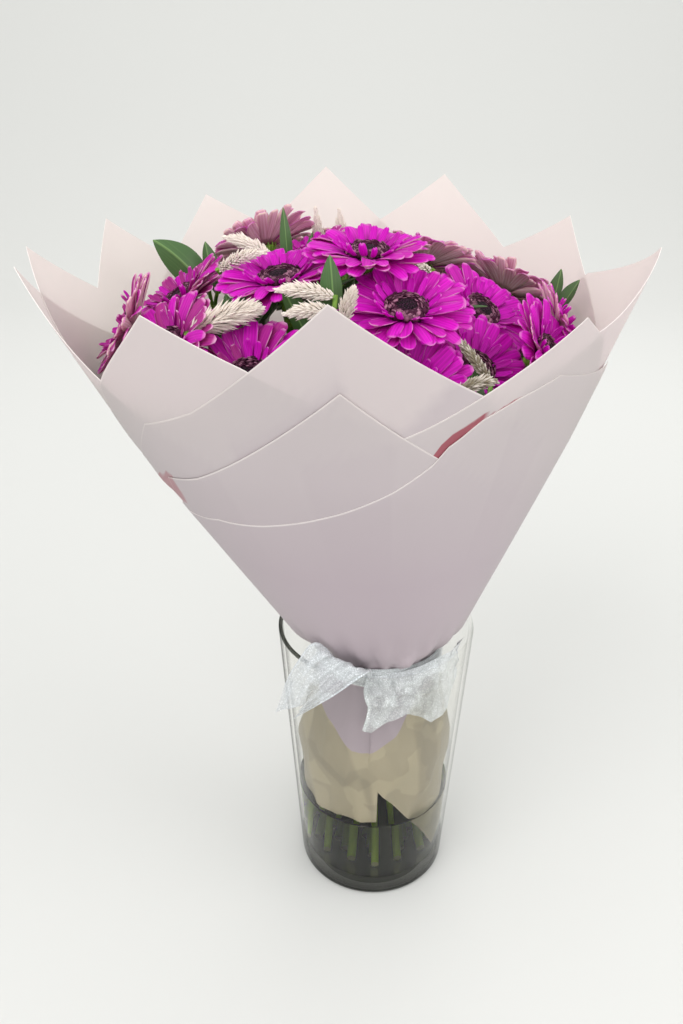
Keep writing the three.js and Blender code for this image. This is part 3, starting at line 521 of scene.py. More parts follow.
def petal_tissue(name, deep_and_groove_shade, full, aged, rim, rim_from, passing):
    """A ray floret's tissue: satin, ribbed along its length with painted shade in the grooves,
    deeper at the root, paler at the rim and duller with age, and it glows a little with the light
    behind it."""
    material = new_material(name)
    plan = add_node(material, "UVMap", uv_map="flat")
    tone = add_node(material, "Attribute", output="Fac", attribute_name="tone")
    along = add_node(material, "SeparateXYZ", {"Vector": plan}, "Y")
    root = add_node(material, "MapRange", {"Value": along, "From Min": 0.05, "From Max": 0.4})
    young = add_node(material, "Mix", {0: root, 6: deep_and_groove_shade, 7: full}, 2, data_type="RGBA")
    # A petal's tone runs from 0.5 to 1.8, and to twice that in the older blooms
    older = {"Value": tone, "From Min": 1.2, "From Max": 2.8, "To Max": 0.75}
    age = add_node(material, "MapRange", older)
    body = add_node(material, "Mix", {0: age, 6: young, 7: aged}, 2, data_type="RGBA")
    # Ribs 1 mm apart, one petal being 9 mm across
    ribs = drawn_lines(material, plan, 9.0, 0.7)
    # Painted shade: the grooves between the ribs take the deeper colour
    between = {"Value": ribs, "From Min": 0.6, "From Max": 0.4, "To Max": 0.6}
    groove_shade = add_node(material, "MapRange", between)
    ribbed = add_node(material, "Mix", {0: groove_shade, 6: body, 7: deep_and_groove_shade}, 2, data_type="RGBA")
    # The rim is pale along both sides and at the tip
    off_rib = off_middle(material, plan)
    sides = {"Value": off_rib, "From Min": rim_from, "From Max": 0.5, "To Max": 0.42}
    side = add_node(material, "MapRange", sides)
    tip = add_node(material, "MapRange", {"Value": along, "From Min": 0.94, "To Max": 0.4})
    edge = add_node(material, "Math", {0: side, 1: tip}, operation="MAXIMUM")
    pale = add_node(material, "Math", {0: edge, 1: tone}, operation="MULTIPLY")
    colour = add_node(material, "Mix", {0: pale, 6: ribbed, 7: rim}, 2, data_type="RGBA")
    bump = add_node(material, "Bump", {"Height": ribs, "Strength": 0.5, "Distance": 0.0005})
    skin = {"Base Color": colour, "Roughness": 0.55, "IOR": 1.4, "Normal": bump}
    # The cells of a petal are little domes, which take half of its gloss
    skin["Specular IOR Level"] = 0.3
    return lit_through(material, skin, passing)


def floret_tissue(name, root, tip, pale_from):
    """Small florets: dull and soft, one colour at the root and another at the tip."""
    material = new_material(name)
    plan = add_node(material, "UVMap", uv_map="flat")
    along = add_node(material, "SeparateXYZ", {"Vector": plan}, "Y")
    tone = add_node(material, "Attribute", output="Fac", attribute_name="tone")
    share = add_node(material, "Math", {0: along, 1: tone}, operation="MULTIPLY")
    ends = {"Value": share, "From Min": pale_from, "From Max": pale_from + 0.25}
    rise = add_node(material, "MapRange", ends)
    colour = add_node(material, "Mix", {0: rise, 6: root, 7: tip}, 2, data_type="RGBA")
    return lit_through(material, {"Base Color": colour, "Roughness": 0.7, "IOR": 1.4}, 0.2)


def stem_skin(name, settings):
    """A green stem: smooth and waxy, mottled in spots of a few millimetres, and painted brighter
    under the water line, so that it shows through the murky water."""
    material = new_material(name)
    place = add_node(material, "TexCoord", output="Object")
    spots = add_node(material, "TexNoise", {"Vector": place, "Scale": 220.0, "Detail": 3.0})
    mottle = add_node(material, "MapRange", {"Value": spots, "From Min": 0.35, "From Max": 0.65})
    tones = {0: mottle, 6: settings.stem_dark, 7: settings.stem}
    colour = add_node(material, "Mix", tones, 2, data_type="RGBA")
    height = add_node(material, "SeparateXYZ", {"Vector": place}, "Z")
    # Painted light under the water line
    under = add_node(material, "MapRange", {"Value": height, "From Min": 0.085, "From Max": 0.07})
    tones = {0: under, 6: colour, 7: settings.stem_lit_in_water}
    colour = add_node(material, "Mix", tones, 2, data_type="RGBA")
    bump = add_node(material, "Bump", {"Height": spots, "Strength": 0.3, "Distance": 0.0003})
    skin = {"Base Color": colour, "Roughness": 0.42, "IOR": 1.42, "Normal": bump}
    wax = add_node(material, "BsdfPrincipled", skin)
    add_node(material, "OutputMaterial", {"Surface": wax})
    return material


def stem_pith(tone):
    """The pale, wet pith that shows where a stem is cut."""
    material = new_material("stem_pith")
    wet = {"Base Color": tone, "Roughness": 0.4, "IOR": 1.4}
    shader = add_node(material, "BsdfPrincipled", wet)
    add_node(material, "OutputMaterial", {"Surface": shader})
    return material


def ruscus_leaf(name, blade, vein):
    """A ruscus leaf: waxy dark green with a pale midrib and fine veins that run along it."""
    material = new_material(name)
    plan = add_node(material, "UVMap", uv_map="flat")
    off_rib = off_middle(material, plan)
    rib = add_node(material, "MapRange", {"Value": off_rib, "From Min": 0.05, "From Max": 0.02})
    # Veins about 1 mm apart on a blade 18 mm wide
    lines = drawn_lines(material, plan, 18.0, 1.2)
    faint = {"Value": lines, "From Min": 0.5, "From Max": 0.7, "To Max": 0.2}
    veins = add_node(material, "MapRange", faint)
    drawn = add_node(material, "Math", {0: rib, 1: veins}, operation="MAXIMUM")
    colour = add_node(material, "Mix", {0: drawn, 6: blade, 7: vein}, 2, data_type="RGBA")
    bump = add_node(material, "Bump", {"Height": lines, "Strength": 0.3, "Distance": 0.0003})
    skin = {"Base Color": colour, "Roughness": 0.36, "IOR": 1.45, "Normal": bump}
    return lit_through(material, skin, 0.15)


def select_where(obj, test):
    """Selects in edit mode the points of a mesh that pass a test of their place."""
    bpy.ops.object.mode_set(mode="EDIT")
    bpy.ops.mesh.select_mode(type="VERT")
    bpy.ops.mesh.select_all(action="DESELECT")
    bpy.ops.object.mode_set(mode="OBJECT")
    for vertex in obj.data.vertices:
        vertex.select = bool(test(vertex.co))
    bpy.ops.object.mode_set(mode="EDIT")


def turned_piece(name, profile, sides):
    """A profile of radius and height, spun round the vertical axis into a closed solid."""
    deselect()
    bpy.ops.mesh.primitive_circle_add(vertices=len(profile), radius=1)
    obj = named(name)
    for vertex, (r, z) in zip(obj.data.vertices, profile):
        vertex.co = (r * MM, 0, z * MM)
    bpy.ops.object.mode_set(mode="EDIT")
    bpy.ops.mesh.select_all(action="SELECT")
    bpy.ops.mesh.spin(steps=sides, angle=math.tau, center=(0, 0, 0), axis=(0, 0, 1))
    bpy.ops.mesh.select_all(action="SELECT")
    bpy.ops.mesh.remove_doubles(threshold=1e-6)
    bpy.ops.mesh.normals_make_consistent(inside=False)
    bpy.ops.object.mode_set(mode="OBJECT")
    bpy.ops.object.shade_smooth_by_angle(angle=math.radians(35))
    return obj


def rounded(profile, rounds):
    """A profile whose named corners are turned into arcs of four steps."""
    points = []
    for k, spot in enumerate(profile):
        if k not in rounds:
            points.append(spot)
            continue
        corner = Vector(spot)
        before = (Vector(profile[k - 1]) - corner).normalized() * rounds[k]
        after = (Vector(profile[k + 1]) - corner).normalized() * rounds[k]
        for t in (0, 0.25, 0.5, 0.75, 1):
            points.append(tuple(corner + (1 - t) ** 2 * before + t ** 2 * after))
    return points


def glass_radius(z):
    """Outside of the vase at a height."""
    return FOOT_RADIUS + (MOUTH_RADIUS - FOOT_RADIUS) * z / VASE_HEIGHT


class BOUQUET_OT_vase(bpy.types.Operator):
    """Spins the glass vase and the water in it"""

    bl_idname = "bouquet.vase"
    bl_label = "Vase and water"

    def execute(self, context):
        settings = context.scene.bouquet_vase
        outline = [
            # The underside is hollowed by 0.8 mm inside the ring that the vase stands on
            (0, 0.8),
            (FOOT_RADIUS - 14, 0.8),
            (FOOT_RADIUS - 11, 0),
            (FOOT_RADIUS, 0),
            (MOUTH_RADIUS, VASE_HEIGHT),
            (MOUTH_RADIUS - GLASS_WALL, VASE_HEIGHT),
            (glass_radius(GLASS_FLOOR) - GLASS_WALL, GLASS_FLOOR),
            (0, GLASS_FLOOR),
        ]
        # Corners of the outline and the radius of each: heel, both sides of the lip, inner corner
        smooth = rounded(outline, {3: 4, 4: 1.5, 5: 1.5, 6: 6})
        vase = turned_piece("glass_vase", smooth, settings.sides)
        glass = soda_lime_glass(settings.glass, settings.glass_edge_shade)
        finish_piece(vase, [glass], "vase")
        # The water wets the glass: its skin lies just inside the wall's own, without an air gap,
        # and climbs a little where it meets it
        low, high = GLASS_FLOOR + 5, WATER_LEVEL + 1.2
        reach = [glass_radius(z) - GLASS_WALL + 0.1 for z in (GLASS_FLOOR, low, high)]
        surface = [
            (0, GLASS_FLOOR - 0.1),
            (reach[0] - 5, GLASS_FLOOR - 0.1),
            (reach[1], low),
            (reach[2], high),
            (reach[2] - 0.8, high - 0.7),
            (reach[2] - 2.6, WATER_LEVEL),
            (0, WATER_LEVEL),
        ]
        water = turned_piece("vase_water", surface, settings.sides)
        finish_piece(water, [standing_water(settings.water)], "water")
        return {"FINISHED"}


def wrap_places(azimuths, heights, depths):
    """Points of the wrap's cone: azimuth in degrees, height, and depth under the outer sheet."""
    rows = np.array(WRAP_PROFILE, dtype=float)
    # The cone's bends are rounded off over 10 mm
    near = [
        [np.interp(heights + d, rows[:, 0], rows[:, c]) for d in (-5, -2.5, 0, 2.5, 5)]
        for c in (1, 2, 3, 4)
    ]
    centre_x, centre_y, reach_x, reach_y = [np.mean(values, axis=0) for values in near]
    turn = np.radians(azimuths)
    inset = depths - wrap_folds(azimuths, heights)
    x = centre_x + (reach_x - inset) * np.sin(turn)
    y = centre_y - (reach_y - inset) * np.cos(turn)
    return np.stack([x, y, heights], axis=-1)


def wrap_folds(azimuths, heights):
    """How far the sheets stand out of their cone: pleats at the tie, bulges and soft waves over it,
    and sharp inward creases under it. All sheets share the folds, so that they stay apart."""
    turn = np.radians(azimuths)
    tie = np.exp(-(((heights - PLEAT_HEIGHT) / PLEAT_REACH) ** 2))
    folds = PLEAT_DEPTH * tie * (np.sin(PLEAT_COUNT * turn + 0.8 * np.sin(3 * turn)) - 0.7)
    for azimuth, height, wide, tall, out in BULGES:
        bump = np.exp(-(((azimuths - azimuth) / wide) ** 2) - ((heights - height) / tall) ** 2)
        folds = folds + out * bump
    # Waves of 1.8 and 1.4 mm, in full 260 mm over the tie
    flare = np.clip((heights - 235) / 260, 0, 1)
    waves = flare * (1.8 * np.sin(5 * turn + 0.6) + 1.4 * np.sin(8 * turn + 2.2 + heights / 90))
    creases = 0
    for depth, angle, rise, start in SKIRT_CREASES:
        creases = creases + depth * np.abs(np.sin(angle * turn + heights / rise + start))
    return folds + waves - np.clip((SKIRT_TOP - heights) / 40, 0, 1) * creases


def over_crown(name, azimuth, heights):
    """How far points lie over a sheet's top edge, at an azimuth."""
    return heights - crown_height(WRAP_SHEETS[name][1], azimuth)


def film_shares(name, azimuth, heights):
    """How stacked and how wet the film is down one column of a sheet, with painted shade in the
    stacked share, how far it lies inside the outlines of the pocket, of the creases' painted shade
    and of the painted pink folds, and how pale its rim's painted highlight is."""
    # Every sheet that lies with this one takes its share of the light, fading over 5 mm
    others = [
        np.clip(0.5 - over_crown(other, turn, heights) / 5, 0, 1)
        for other, (_, crown, _) in WRAP_SHEETS.items()
        for turn in (azimuth - 360, azimuth, azimuth + 360)
        if other != name and crown[0][0] <= turn <= crown[-1][0]
    ]
    covered_and_shaded = np.sum(others, axis=0) if others else np.zeros_like(heights)
    if name == "wrap_front":
        # Painted shadow of the outer sheet on this sheet's corner, counted as so many sheets
        first, last = SHADED_CORNER
        over = np.maximum(over_crown("wrap_outer_front", azimuth, heights), 0)
        covered_and_shaded = covered_and_shaded + SHADE_SHEETS * np.exp(-over / SHADE_REACH) * (first < azimuth < last)
        middle, height, lean = SHEET_BEHIND
        behind = azimuth - middle - lean * (heights - height)
        covered_and_shaded = covered_and_shaded + SHADE_SHEETS * np.clip(behind / 3, 0, 1)
    layer, front = WRAP_SHEETS[name][0], math.cos(math.radians(azimuth))
    parted = np.interp(heights, PARTING, [0.0, 1.0])
    # Painted shade: the side that faces the front takes more of the stacked lilac
    parted_stack_and_shade = PARTED_SHARES[0] * covered_and_shaded + PARTED_SHARES[1] * max(0.0, front)
    stack = parted * parted_stack_and_shade + (1 - parted) * (STACKED_SHARES[0] + STACKED_SHARES[1] * front)
    rose = np.full_like(heights, -FAR)
    if layer == 2:
        # The painted pink wedge of shade and bounced light rises from the outer sheet's edge
        over = over_crown("wrap_outer_right", azimuth, heights)
        left = (azimuth - WEDGE_ENDS[0]) / WEDGE_SIDES[0]
        right = (WEDGE_ENDS[1] - azimuth) / WEDGE_SIDES[1]
        rose = np.minimum(WEDGE_HEIGHT * min(left, right) - over, over + 3)
    if layer > 0:
        # The painted pink also shows in the loose loop, paler than in the wedge
        rose = np.maximum(rose, np.minimum(inside_facet(PINK_LOOP, azimuth, heights), 0.1))
    pocket = heights - np.interp(azimuth, *zip(*POCKET_FOOT))
    creases = [inside_facet(corners, azimuth, heights) for corners in SKIRT_FACETS]
    rim = np.zeros_like(heights)
    # The edges of the sheets in front fade where the light does not catch them
    left = 0.15 if layer < 4 else 1.0
    rim[-2:] = RIM_SHARE * np.interp(azimuth, [-60, -34, 34, 44], [left, 1, 1, 0.2])
    return {
        "stack": np.clip(stack, 0, 1),
        "wet": np.clip((SKIRT_TOP - heights) / 8, 0, 1),
        "crease_shade": np.clip(np.max(creases, axis=0), -FAR, FAR),
        "pocket": np.where(heights > TIE_FOOT, -FAR, pocket),
        "rose": np.clip(rose, -FAR, FAR),
        "rim": rim,
    }


def inside_facet(corners, azimuth, heights):
    """How far points of a sheet lie inside a facet, in millimetres; its corners run clockwise."""
    spots = np.array(corners) * [DEGREE_WIDTH, 1]
    inside = np.full_like(heights, FAR)
    for near, far in zip(spots, np.roll(spots, -1, axis=0)):
        way = (far - near) / np.linalg.norm(far - near)
        across = (heights - near[1]) * way[0] - (DEGREE_WIDTH * azimuth - near[0]) * way[1]
        inside = np.minimum(inside, -across)
    return inside


def crown_height(corners, azimuth):
    """A sheet's top edge, straight from corner to corner on the flat sheet."""
    k = 0
    while k < len(corners) - 2 and azimuth > corners[k + 1][0]:
        k += 1
    (a0, h0), (a1, h1) = corners[k:k + 2]
    near, far, whole = [
        math.sin(math.radians(turn) * math.sin(ROLL_ANGLE))
        for turn in (a1 - azimuth, azimuth - a0, a1 - a0)
    ]
    return ROLL_APEX + whole / (near / (h0 - ROLL_APEX) + far / (h1 - ROLL_APEX))


def laid_sheet(name, points):
    """A grid of points, rows along and columns across, made into a sheet with a flat UV map."""
    columns, rows = len(points), len(points[0])
    deselect()
    bpy.ops.mesh.primitive_grid_add(x_subdivisions=rows - 1, y_subdivisions=columns - 1, size=1)
    obj = named(name)
    places = np.asarray(points, dtype=float).reshape(-1, 3) * MM
    obj.data.vertices.foreach_set("co", places.ravel())
    obj.data.uv_layers[0].name = "flat"
    obj.data.update()
    return obj


def column_azimuths(crown, skirt):
    """Where a sheet's columns stand: at its corners, at every second degree, and closer at the
    loop, whose outline they draw."""
    corners = {azimuth for azimuth, _ in crown + skirt}
    first, last = crown[0][0], crown[-1][0]
    even = np.arange(math.ceil(first / 2), last / 2) * 2
    at_loop = [turn for turn in np.arange(-65.0, -46) if first < turn < last]
    others = [
        float(turn) for turn in np.union1d(even, at_loop)
        if min(abs(turn - corner) for corner in corners) > 0.5
    ]
    return sorted(corners | set(others))


def column_heights(foot, top):
    """Heights of a column's points: some down the skirt if it has one, closer ones where the sheet
    bends out of the tie, and then up to its crown."""
    skirt = np.linspace(foot, TIE_FOOT, 28)[:-1] if foot is not None else []
    bend, rise = np.linspace(TIE_FOOT, 262, 16), np.linspace(262, top - 1.5, 34)[1:]
    return np.concatenate([skirt, bend, rise, top - np.array(RIM_ROWS)])


class BOUQUET_OT_wrap(bpy.types.Operator):
    """Lays the sheets of flower wrap round the bouquet"""

    bl_idname = "bouquet.wrap"
    bl_label = "Flower wrap"

    def execute(self, context):
        settings = context.scene.bouquet_wrap
        film, edge = flower_film(settings), cut_edge(settings.edge)
        for name, (layer, crown, skirt) in WRAP_SHEETS.items():
            points, shares = [], []
            for azimuth in column_azimuths(crown, skirt or []):
                top = crown_height(crown, azimuth)
                foot = np.interp(azimuth, *zip(*skirt)) if skirt else None
                height = column_heights(foot, top)
                shares.append(film_shares(name, azimuth, height))
                # The crown's edge leans on the sheet behind it, which is two layers in at the right
                lean = 0.7 if layer == 0 and azimuth > 22 else 0.18
                depths = layer * SHEET_STEP + lean * np.clip(1 - (top - height) / 8, 0, 1)
                points.append(wrap_places(np.full_like(height, azimuth), height, depths))
            sheet = laid_sheet(f"{name}_sheet", points)
            for share in shares[0]:
                values = np.concatenate([column[share] for column in shares])
                attribute = sheet.data.attributes.new(share, "FLOAT", "POINT")
                attribute.data.foreach_set("value", values)
            merge_doubles()
            finish_piece(sheet, [film, edge], name)
            apply_modifier(
                sheet, "SOLIDIFY", thickness=settings.thickness, offset=0.0, material_offset_rim=1
            )
            bpy.ops.object.shade_smooth_by_angle(angle=math.radians(50))
        return {"FINISHED"}


# Crumples of the crushed ribbon: share of its depth, waves across and along it, and start
CRUMPLES = [(0.6, 10, 6, 0), (0.5, 6, -11, 0), (0.35, 17, -9, 1)]


def draped_cloth(rails, steps, across, pinches, depth):
    """A cloth over its rails, each a smooth line from where it is pinched to its free end, with
    folds that run from the pinch and fade, and sharp creases where it was crushed."""
    lines = np.array([smooth_line(rail, steps) for rail in rails])
    spots = np.linspace(0, len(rails) - 1, across)
    shares = spots / spots[-1]
    last = lines.shape[1] - 1
    rows = []
    for k in range(last + 1):
        along = k / last
        row = [np.interp(spots, np.arange(len(rails)), lines[:, k, axis]) for axis in range(3)]
        row = np.stack(row, axis=1)
        fold = 1 - np.abs(np.sin(math.pi * pinches * shares + 0.9 * along))
        crumple = 0
        for share, wide, long, start in CRUMPLES:
            crumple = crumple + share * np.abs(np.sin(wide * shares + long * along + start))
        lift = depth * (1.3 * fold * math.exp(-1.6 * along) + crumple) * min(1.0, 5 * along)
        outward = row * [1, 1, 0]
        outward /= np.linalg.norm(outward, axis=1)[:, None]
        rows.append(row - outward * lift[:, None])
    return rows


def smooth_line(points, steps):
    """A line through all the points, with the given steps between each two."""
    ends = [2 * np.array(points[0]) - points[1], 2 * np.array(points[-1]) - points[-2]]
    knots = np.array([ends[0], *points, ends[1]], dtype=float)
    line = []
    for k in range(1, len(knots) - 2):
        p0, p1, p2, p3 = knots[k - 1:k + 3]
        gaps = [max(np.linalg.norm(b - a) ** 0.5, 1e-6) for a, b in ((p0, p1), (p1, p2), (p2, p3))]
        out, into = [
            gaps[1] * ((b - a) / near - (c - a) / (near + far) + (c - b) / far)
            for (a, b, c), near, far in (((p0, p1, p2), *gaps[:2]), ((p1, p2, p3), *gaps[1:]))
        ]
        for t in np.arange(steps) / steps:
            bend = (3 * (p2 - p1) - 2 * out - into) * t ** 2
            ease = (2 * (p1 - p2) + out + into) * t ** 3
            line.append(p1 + out * t + bend + ease)
    return np.array([*line, knots[-2]])


def round_point(azimuth, radius, height, centre_x=0.0):
    """A point round the vase's axis: azimuth in degrees, radius, height."""
    turn = math.radians(azimuth)
    return (centre_x + radius * math.sin(turn), -radius * math.cos(turn), height)


# Tails of the ribbon: lines from the knot over the rim to the notched end
TAIL_RAILS = [
    [(-19.9, -43, 218), (-30, -58, 229), (-46, -62, 253), (-62, -60, 232), (-78, -55, 185)],
    [(-17, -44.5, 216), (-27, -60, 229), (-38, -67, 247), (-56, -66, 230), (-69, -61, 193)],
    [(-12, -46.3, 213), (-20, -61, 228), (-28, -72, 243), (-45, -72, 228), (-57, -68, 201)],
    [(-8, -47.5, 209), (-12, -62, 227), (-17, -75, 239), (-34, -77, 227), (-59, -69, 196)],
    [(-4, -48.2, 207), (-5, -62, 226), (-8, -75, 236), (-24, -80, 226), (-64, -68, 189)],
]
# Bow: azimuth, then radius and height from the band down to the torn lower edge
BOW_RAILS = [
    (-9, [(49.8, 215), (62, 206), (65, 196), (66.8, 176)]),
    (-2, [(49.8, 216), (62, 206), (65.5, 197), (66.6, 174)]),
    (6, [(49.8, 216), (62, 207), (66, 199), (66.4, 183)]),
    (14, [(50, 217), (63, 210), (66.4, 202), (66.8, 189)]),
    (22, [(52, 219), (64, 213), (66.8, 203), (66.6, 188)]),
    (32, [(58, 224), (66, 216), (67.4, 200), (66.2, 179)]),
    (42, [(64, 230), (68, 220), (68, 202), (66, 172)]),
    (52, [(68.6, 233), (69, 222), (67.6, 200), (65.8, 169)]),
    (62, [(69.6, 234), (69, 222), (68, 202), (65.8, 172)]),
    (72, [(69.2, 230), (69, 220), (68, 206), (66.6, 190)]),
]
# The band is folded double, up on the outside and down on the inside: how far each of its lines
# stands out of the tie, and its share of the band's height
BAND_SECTION = [
    (1.3, 0.02), (1.5, 0.3), (1.2, 0.62), (1.45, 0.9), (1.0, 1),
    (0.5, 0.9), (0.4, 0.5), (0.45, 0.05),
]
TIE_CENTRE_X = 3
TIE_RADIUS = 48
TIE_BOTTOM = 204


def folded_band(height):
    """The band once round the tie, of a height in metres."""
    band = []
    for turn in np.linspace(0, 360, 121):
        foot = TIE_BOTTOM + 0.25 * math.sin(math.radians(5 * turn))
        band.append(
            [
                round_point(turn, TIE_RADIUS + out, foot + up * height / MM, TIE_CENTRE_X)
                for out, up in BAND_SECTION
            ]
        )
    return band


def bow_rail(azimuth, spots):
    """A rail of the bow, a little ragged under the band."""
    turns = [azimuth + 2.2 * math.sin(2.1 * k + azimuth) * min(1, k) for k in range(len(spots))]
    return [round_point(turn, *spot) for turn, spot in zip(turns, spots)]


class BOUQUET_OT_ribbon(bpy.types.Operator):
    """Ties the sheer ribbon round the wrap, with its bow and two tails"""

    bl_idname = "bouquet.ribbon"
    bl_label = "Ribbon"

    def execute(self, context):
        settings = context.scene.bouquet_ribbon
        cloth = nylon_organza(settings)
        bow = [bow_rail(*rail) for rail in BOW_RAILS]
        sheets = {
            "ribbon_band": (folded_band(settings.band), "gathered", ["wrap_outer_front"]),
            "ribbon_tails": (draped_cloth(TAIL_RAILS, 9, 61, 5, 2.8), "draped", ["vase"]),
            "ribbon_bow": (draped_cloth(bow, 12, 97, 7, 2.6), "gathered", ["vase"]),
        }
        for name, (points, held, rests_on) in sheets.items():
            piece = laid_sheet(name, points)
            merge_doubles()
            bpy.ops.object.shade_smooth_by_angle(angle=math.radians(22))
            finish_piece(piece, [cloth], "ribbon")
        return {"FINISHED"}


# Blooms: centre, tilt from upright, azimuth that each faces, and size
BLOOMS = [
    ((11, -67, 489), 20, 0, 1),
    ((62, -7, 472), 38, 53, 0.98),
    ((52, -65, 453), 44, 32, 0.96),
    ((10, -96, 449), 51, -8, 1),
    ((97, -50, 458), 60, 66, 0.93),
    ((117, 2, 457), 62, 88, 0.9),
    ((90, 61.5, 470), 41, 135, 0.98),
    ((27, 44, 494), 30, 165, 0.98),
    ((-11, -29, 513), 8, 0, 0.98),
    ((-45, 53, 497), 17, -97, 0.96),
    ((-64, -25, 497), 13, -44, 1),
    ((-83, 84, 497), 39, 216, 1),
    ((-133, 19, 474), 33, -77, 1),
    ((-160, -20, 466), 62, -83, 0.94),
    ((-80, -88, 455), 38, -30, 1),
    ((-128, -64, 466), 45, -51, 0.98),
    ((-25, 120, 478), 43, 180, 1),
    ((48, 106, 471), 41, 151, 0.98),
]

# Celosia sprays: where each joins its stem, then each head's base, tip, lift and radius
CELOSIA = [
    ((-98, -34, 464), [((-116, -70, 478), (-72, -71, 493), 4, 8)]),
    (
        (-32, -84, 456),
        [
            ((-30, -76, 500), (-62, -78, 505), 4, 5),
            ((-28, -86, 493), (-57, -90, 495), 4, 5),
            ((-27, -90, 486), (-20, -96, 510), 2, 5),
        ],
    ),
    (
        (-88, 10, 468),
        [((-104, -8, 500), (-74, -26, 515), 5, 4.5), ((-72, 14, 504), (-102, 26, 514), 4, 5)],
    ),
    (
        (-32, 86, 460),
        [((-41, 92, 486), (-45, 94, 521), 0, 4.2), ((-26, 88, 488), (-28, 92, 520), 0, 4.5)],
    ),
    ((20, -4, 470), [((31, -5, 499), (6, -14, 505), 3, 4.5)]),
    (
        (52, -113, 430),
        [((58, -98, 458), (36, -85, 483), 1, 3.6), ((32, -124, 458), (56, -120, 466), 5, 4.5)],
    ),
]

# Leaf sprays: where each joins its stem, then each blade's base, tip, width, lift and side
LEAVES = [
    (
        (-114, 56, 450),
        [
            ((-120, 59, 470), (-158, 65, 505), 23, 8, (0.67, 0.27, 0.68)),
            ((-114, 55, 470), (-121, 60, 505), 14, 2, (1, -0.3, 0)),
        ],
    ),
    (
        (-56, 17, 478),
        [
            ((-61, 16, 494), (-64, 22, 534), 8, 0, (1, 0.2, 0)),
            ((-52, 15, 492), (-45, 15, 520), 6, 0, (1, -0.2, 0)),
        ],
    ),
    (
        (-40, -64, 466),
        [
            ((-31, -73, 488), (-33, -70, 523), 13, 2, (1, 0.3, 0)),
            ((-36, -72, 484), (-40, -68, 508), 8, 0, (1, 0.2, 0)),
            ((-44, -66, 470), (-60, -70, 505), 15, 3, (1, -0.4, 0.4)),
        ],
    ),
    (
        (107, 30, 448),
        [
            ((118, 37.5, 465), (123, 38.5, 491), 11, 0, (1, 0.2, 0)),
            ((124, 41, 461), (137, 41, 483), 10, 2, (0.8, 0.2, -0.6)),
        ],
    ),
]

# Stems, in millimetres: the foot of the cup under a bloom, the radii of a bloom's stem, a spray's
# stem and its stalks, and how long a stem runs straight under its bloom
CALYX_FOOT = -14
STEM_RADIUS = 3
SPRAY_STEM_RADIUS = 2.7
STALK_RADIUS = 1.8
NECK_LENGTH = 34
# How far apart stems lie in the tie and at what height, how much wider and further round their feet
# stand, and how steep their slanted cuts are
STEM_PITCH = 6.5
BIND_HEIGHT = 211
FOOT_SPREAD = 2.75
FOOT_TURN = math.radians(32)
CUT_SLOPE = 1.6
SPRAY_SOURCE = Vector((TIE_CENTRE_X, 0, 260))
GOLDEN_ANGLE = math.radians(137.508)
# Leaves on a spray's stem, the thickness of a leaf, and that of its pattern, which is one long
STEM_LEAVES = 9
LEAF_THICKNESS = 0.4
PATTERN_THICKNESS = 0.03
# Celosia florets on a millimetre of a head's length for each millimetre of its radius
FLORET_DENSITY = 1.5
# How far shaped rows of a pattern wait aside, so that they aren't selected again
ASIDE = 1000

# Rings of petals from below: how many fewer than in a full ring, root radius and height, pitch in
# degrees, and length
PETAL_RINGS = [(0, 6.0, -2.2, 9.5, 1.0), (2, 6.0, -0.6, 15.5, 0.9), (10, 8.5, 2.4, 20, 1.0)]
# Full petals: height at the middle and at the tip, and how far the sides stand up
PETAL_SHAPES = [
    (1.6, -0.6, 0.9), (2.4, -3.0, 0.5), (0.8, 1.6, 1.2), (2.0, -1.4, -0.6), (1.2, 0.4, 1.5),
]
# Short ones round the disc: height at the tip, and how far the sides stand up
SPOON_SHAPES = [(3.0, 1.0), (4.6, 1.5), (1.6, 0.8)]
# Florets of a disc: open ones in a ring, and closed ones in the eye, which is so wide and high
RING_FLORETS = 230
EYE_BUDS = 80
EYE_RADIUS = 6.4
EYE_HEIGHT = 4.8
# Cup under a bloom: radii and heights, and its rings of bracts: root radius, height, count and
# pitch in degrees
CUP_PROFILE = [
    (0, CALYX_FOOT), (2.9, CALYX_FOOT), (4.2, -11), (6.6, -7), (8.0, -3.2), (7.0, -2.6), (0, -2.6),
]
BRACT_RINGS = [(3.6, -12.5, 13, 60), (5.4, -9.5, 15, 52)]
BRACT_STATIONS = [(0, 0.9, 0, 0), (3.5, 1.1, 0.7, 0.2), (6.5, 0.8, 0.9, 0.1), (8.5, 0.2, 1.4, 0)]


def facing(tilt, azimuth):
    """The way a bloom looks."""
    lean, turn = math.radians(tilt), math.radians(azimuth)
    out = math.sin(lean)
    return Vector((out * math.sin(turn), -out * math.cos(turn), math.cos(lean)))


def bloom_frame(bloom):
    """From a bloom's own frame, its face up and in millimetres, to its place."""
    at, tilt, azimuth, _ = bloom
    turn = Vector((0, 0, 1)).rotation_difference(facing(tilt, azimuth))
    return Matrix.Translation(at) @ turn.to_matrix().to_4x4()


def values_of(items, key, kind, width=1):
    """One value of every item of a mesh, as an array."""
    values = np.empty(len(items) * width, dtype=kind)
    items.foreach_get(key, values)
    return values


def blank(obj):
    """Takes a finished pattern piece off the scene as arrays, for copies to be made from it."""
    mesh = obj.data
    points = values_of(mesh.vertices, "co", float, 3).reshape(-1, 3)
    low, high = points.min(axis=0), points.max(axis=0)
    share = (points - low) / np.maximum(high - low, 1e-9)
    corners = values_of(mesh.loops, "vertex_index", int)
    pattern = {
        "points": points,
        "corners": corners,
        "counts": values_of(mesh.polygons, "loop_total", int),
        "slots": values_of(mesh.polygons, "material_index", int),
        "plan": np.stack([share[:, 1], share[:, 0]], axis=1)[corners],
    }
    bpy.data.objects.remove(obj, do_unlink=True)
    bpy.data.meshes.remove(mesh)
    return pattern


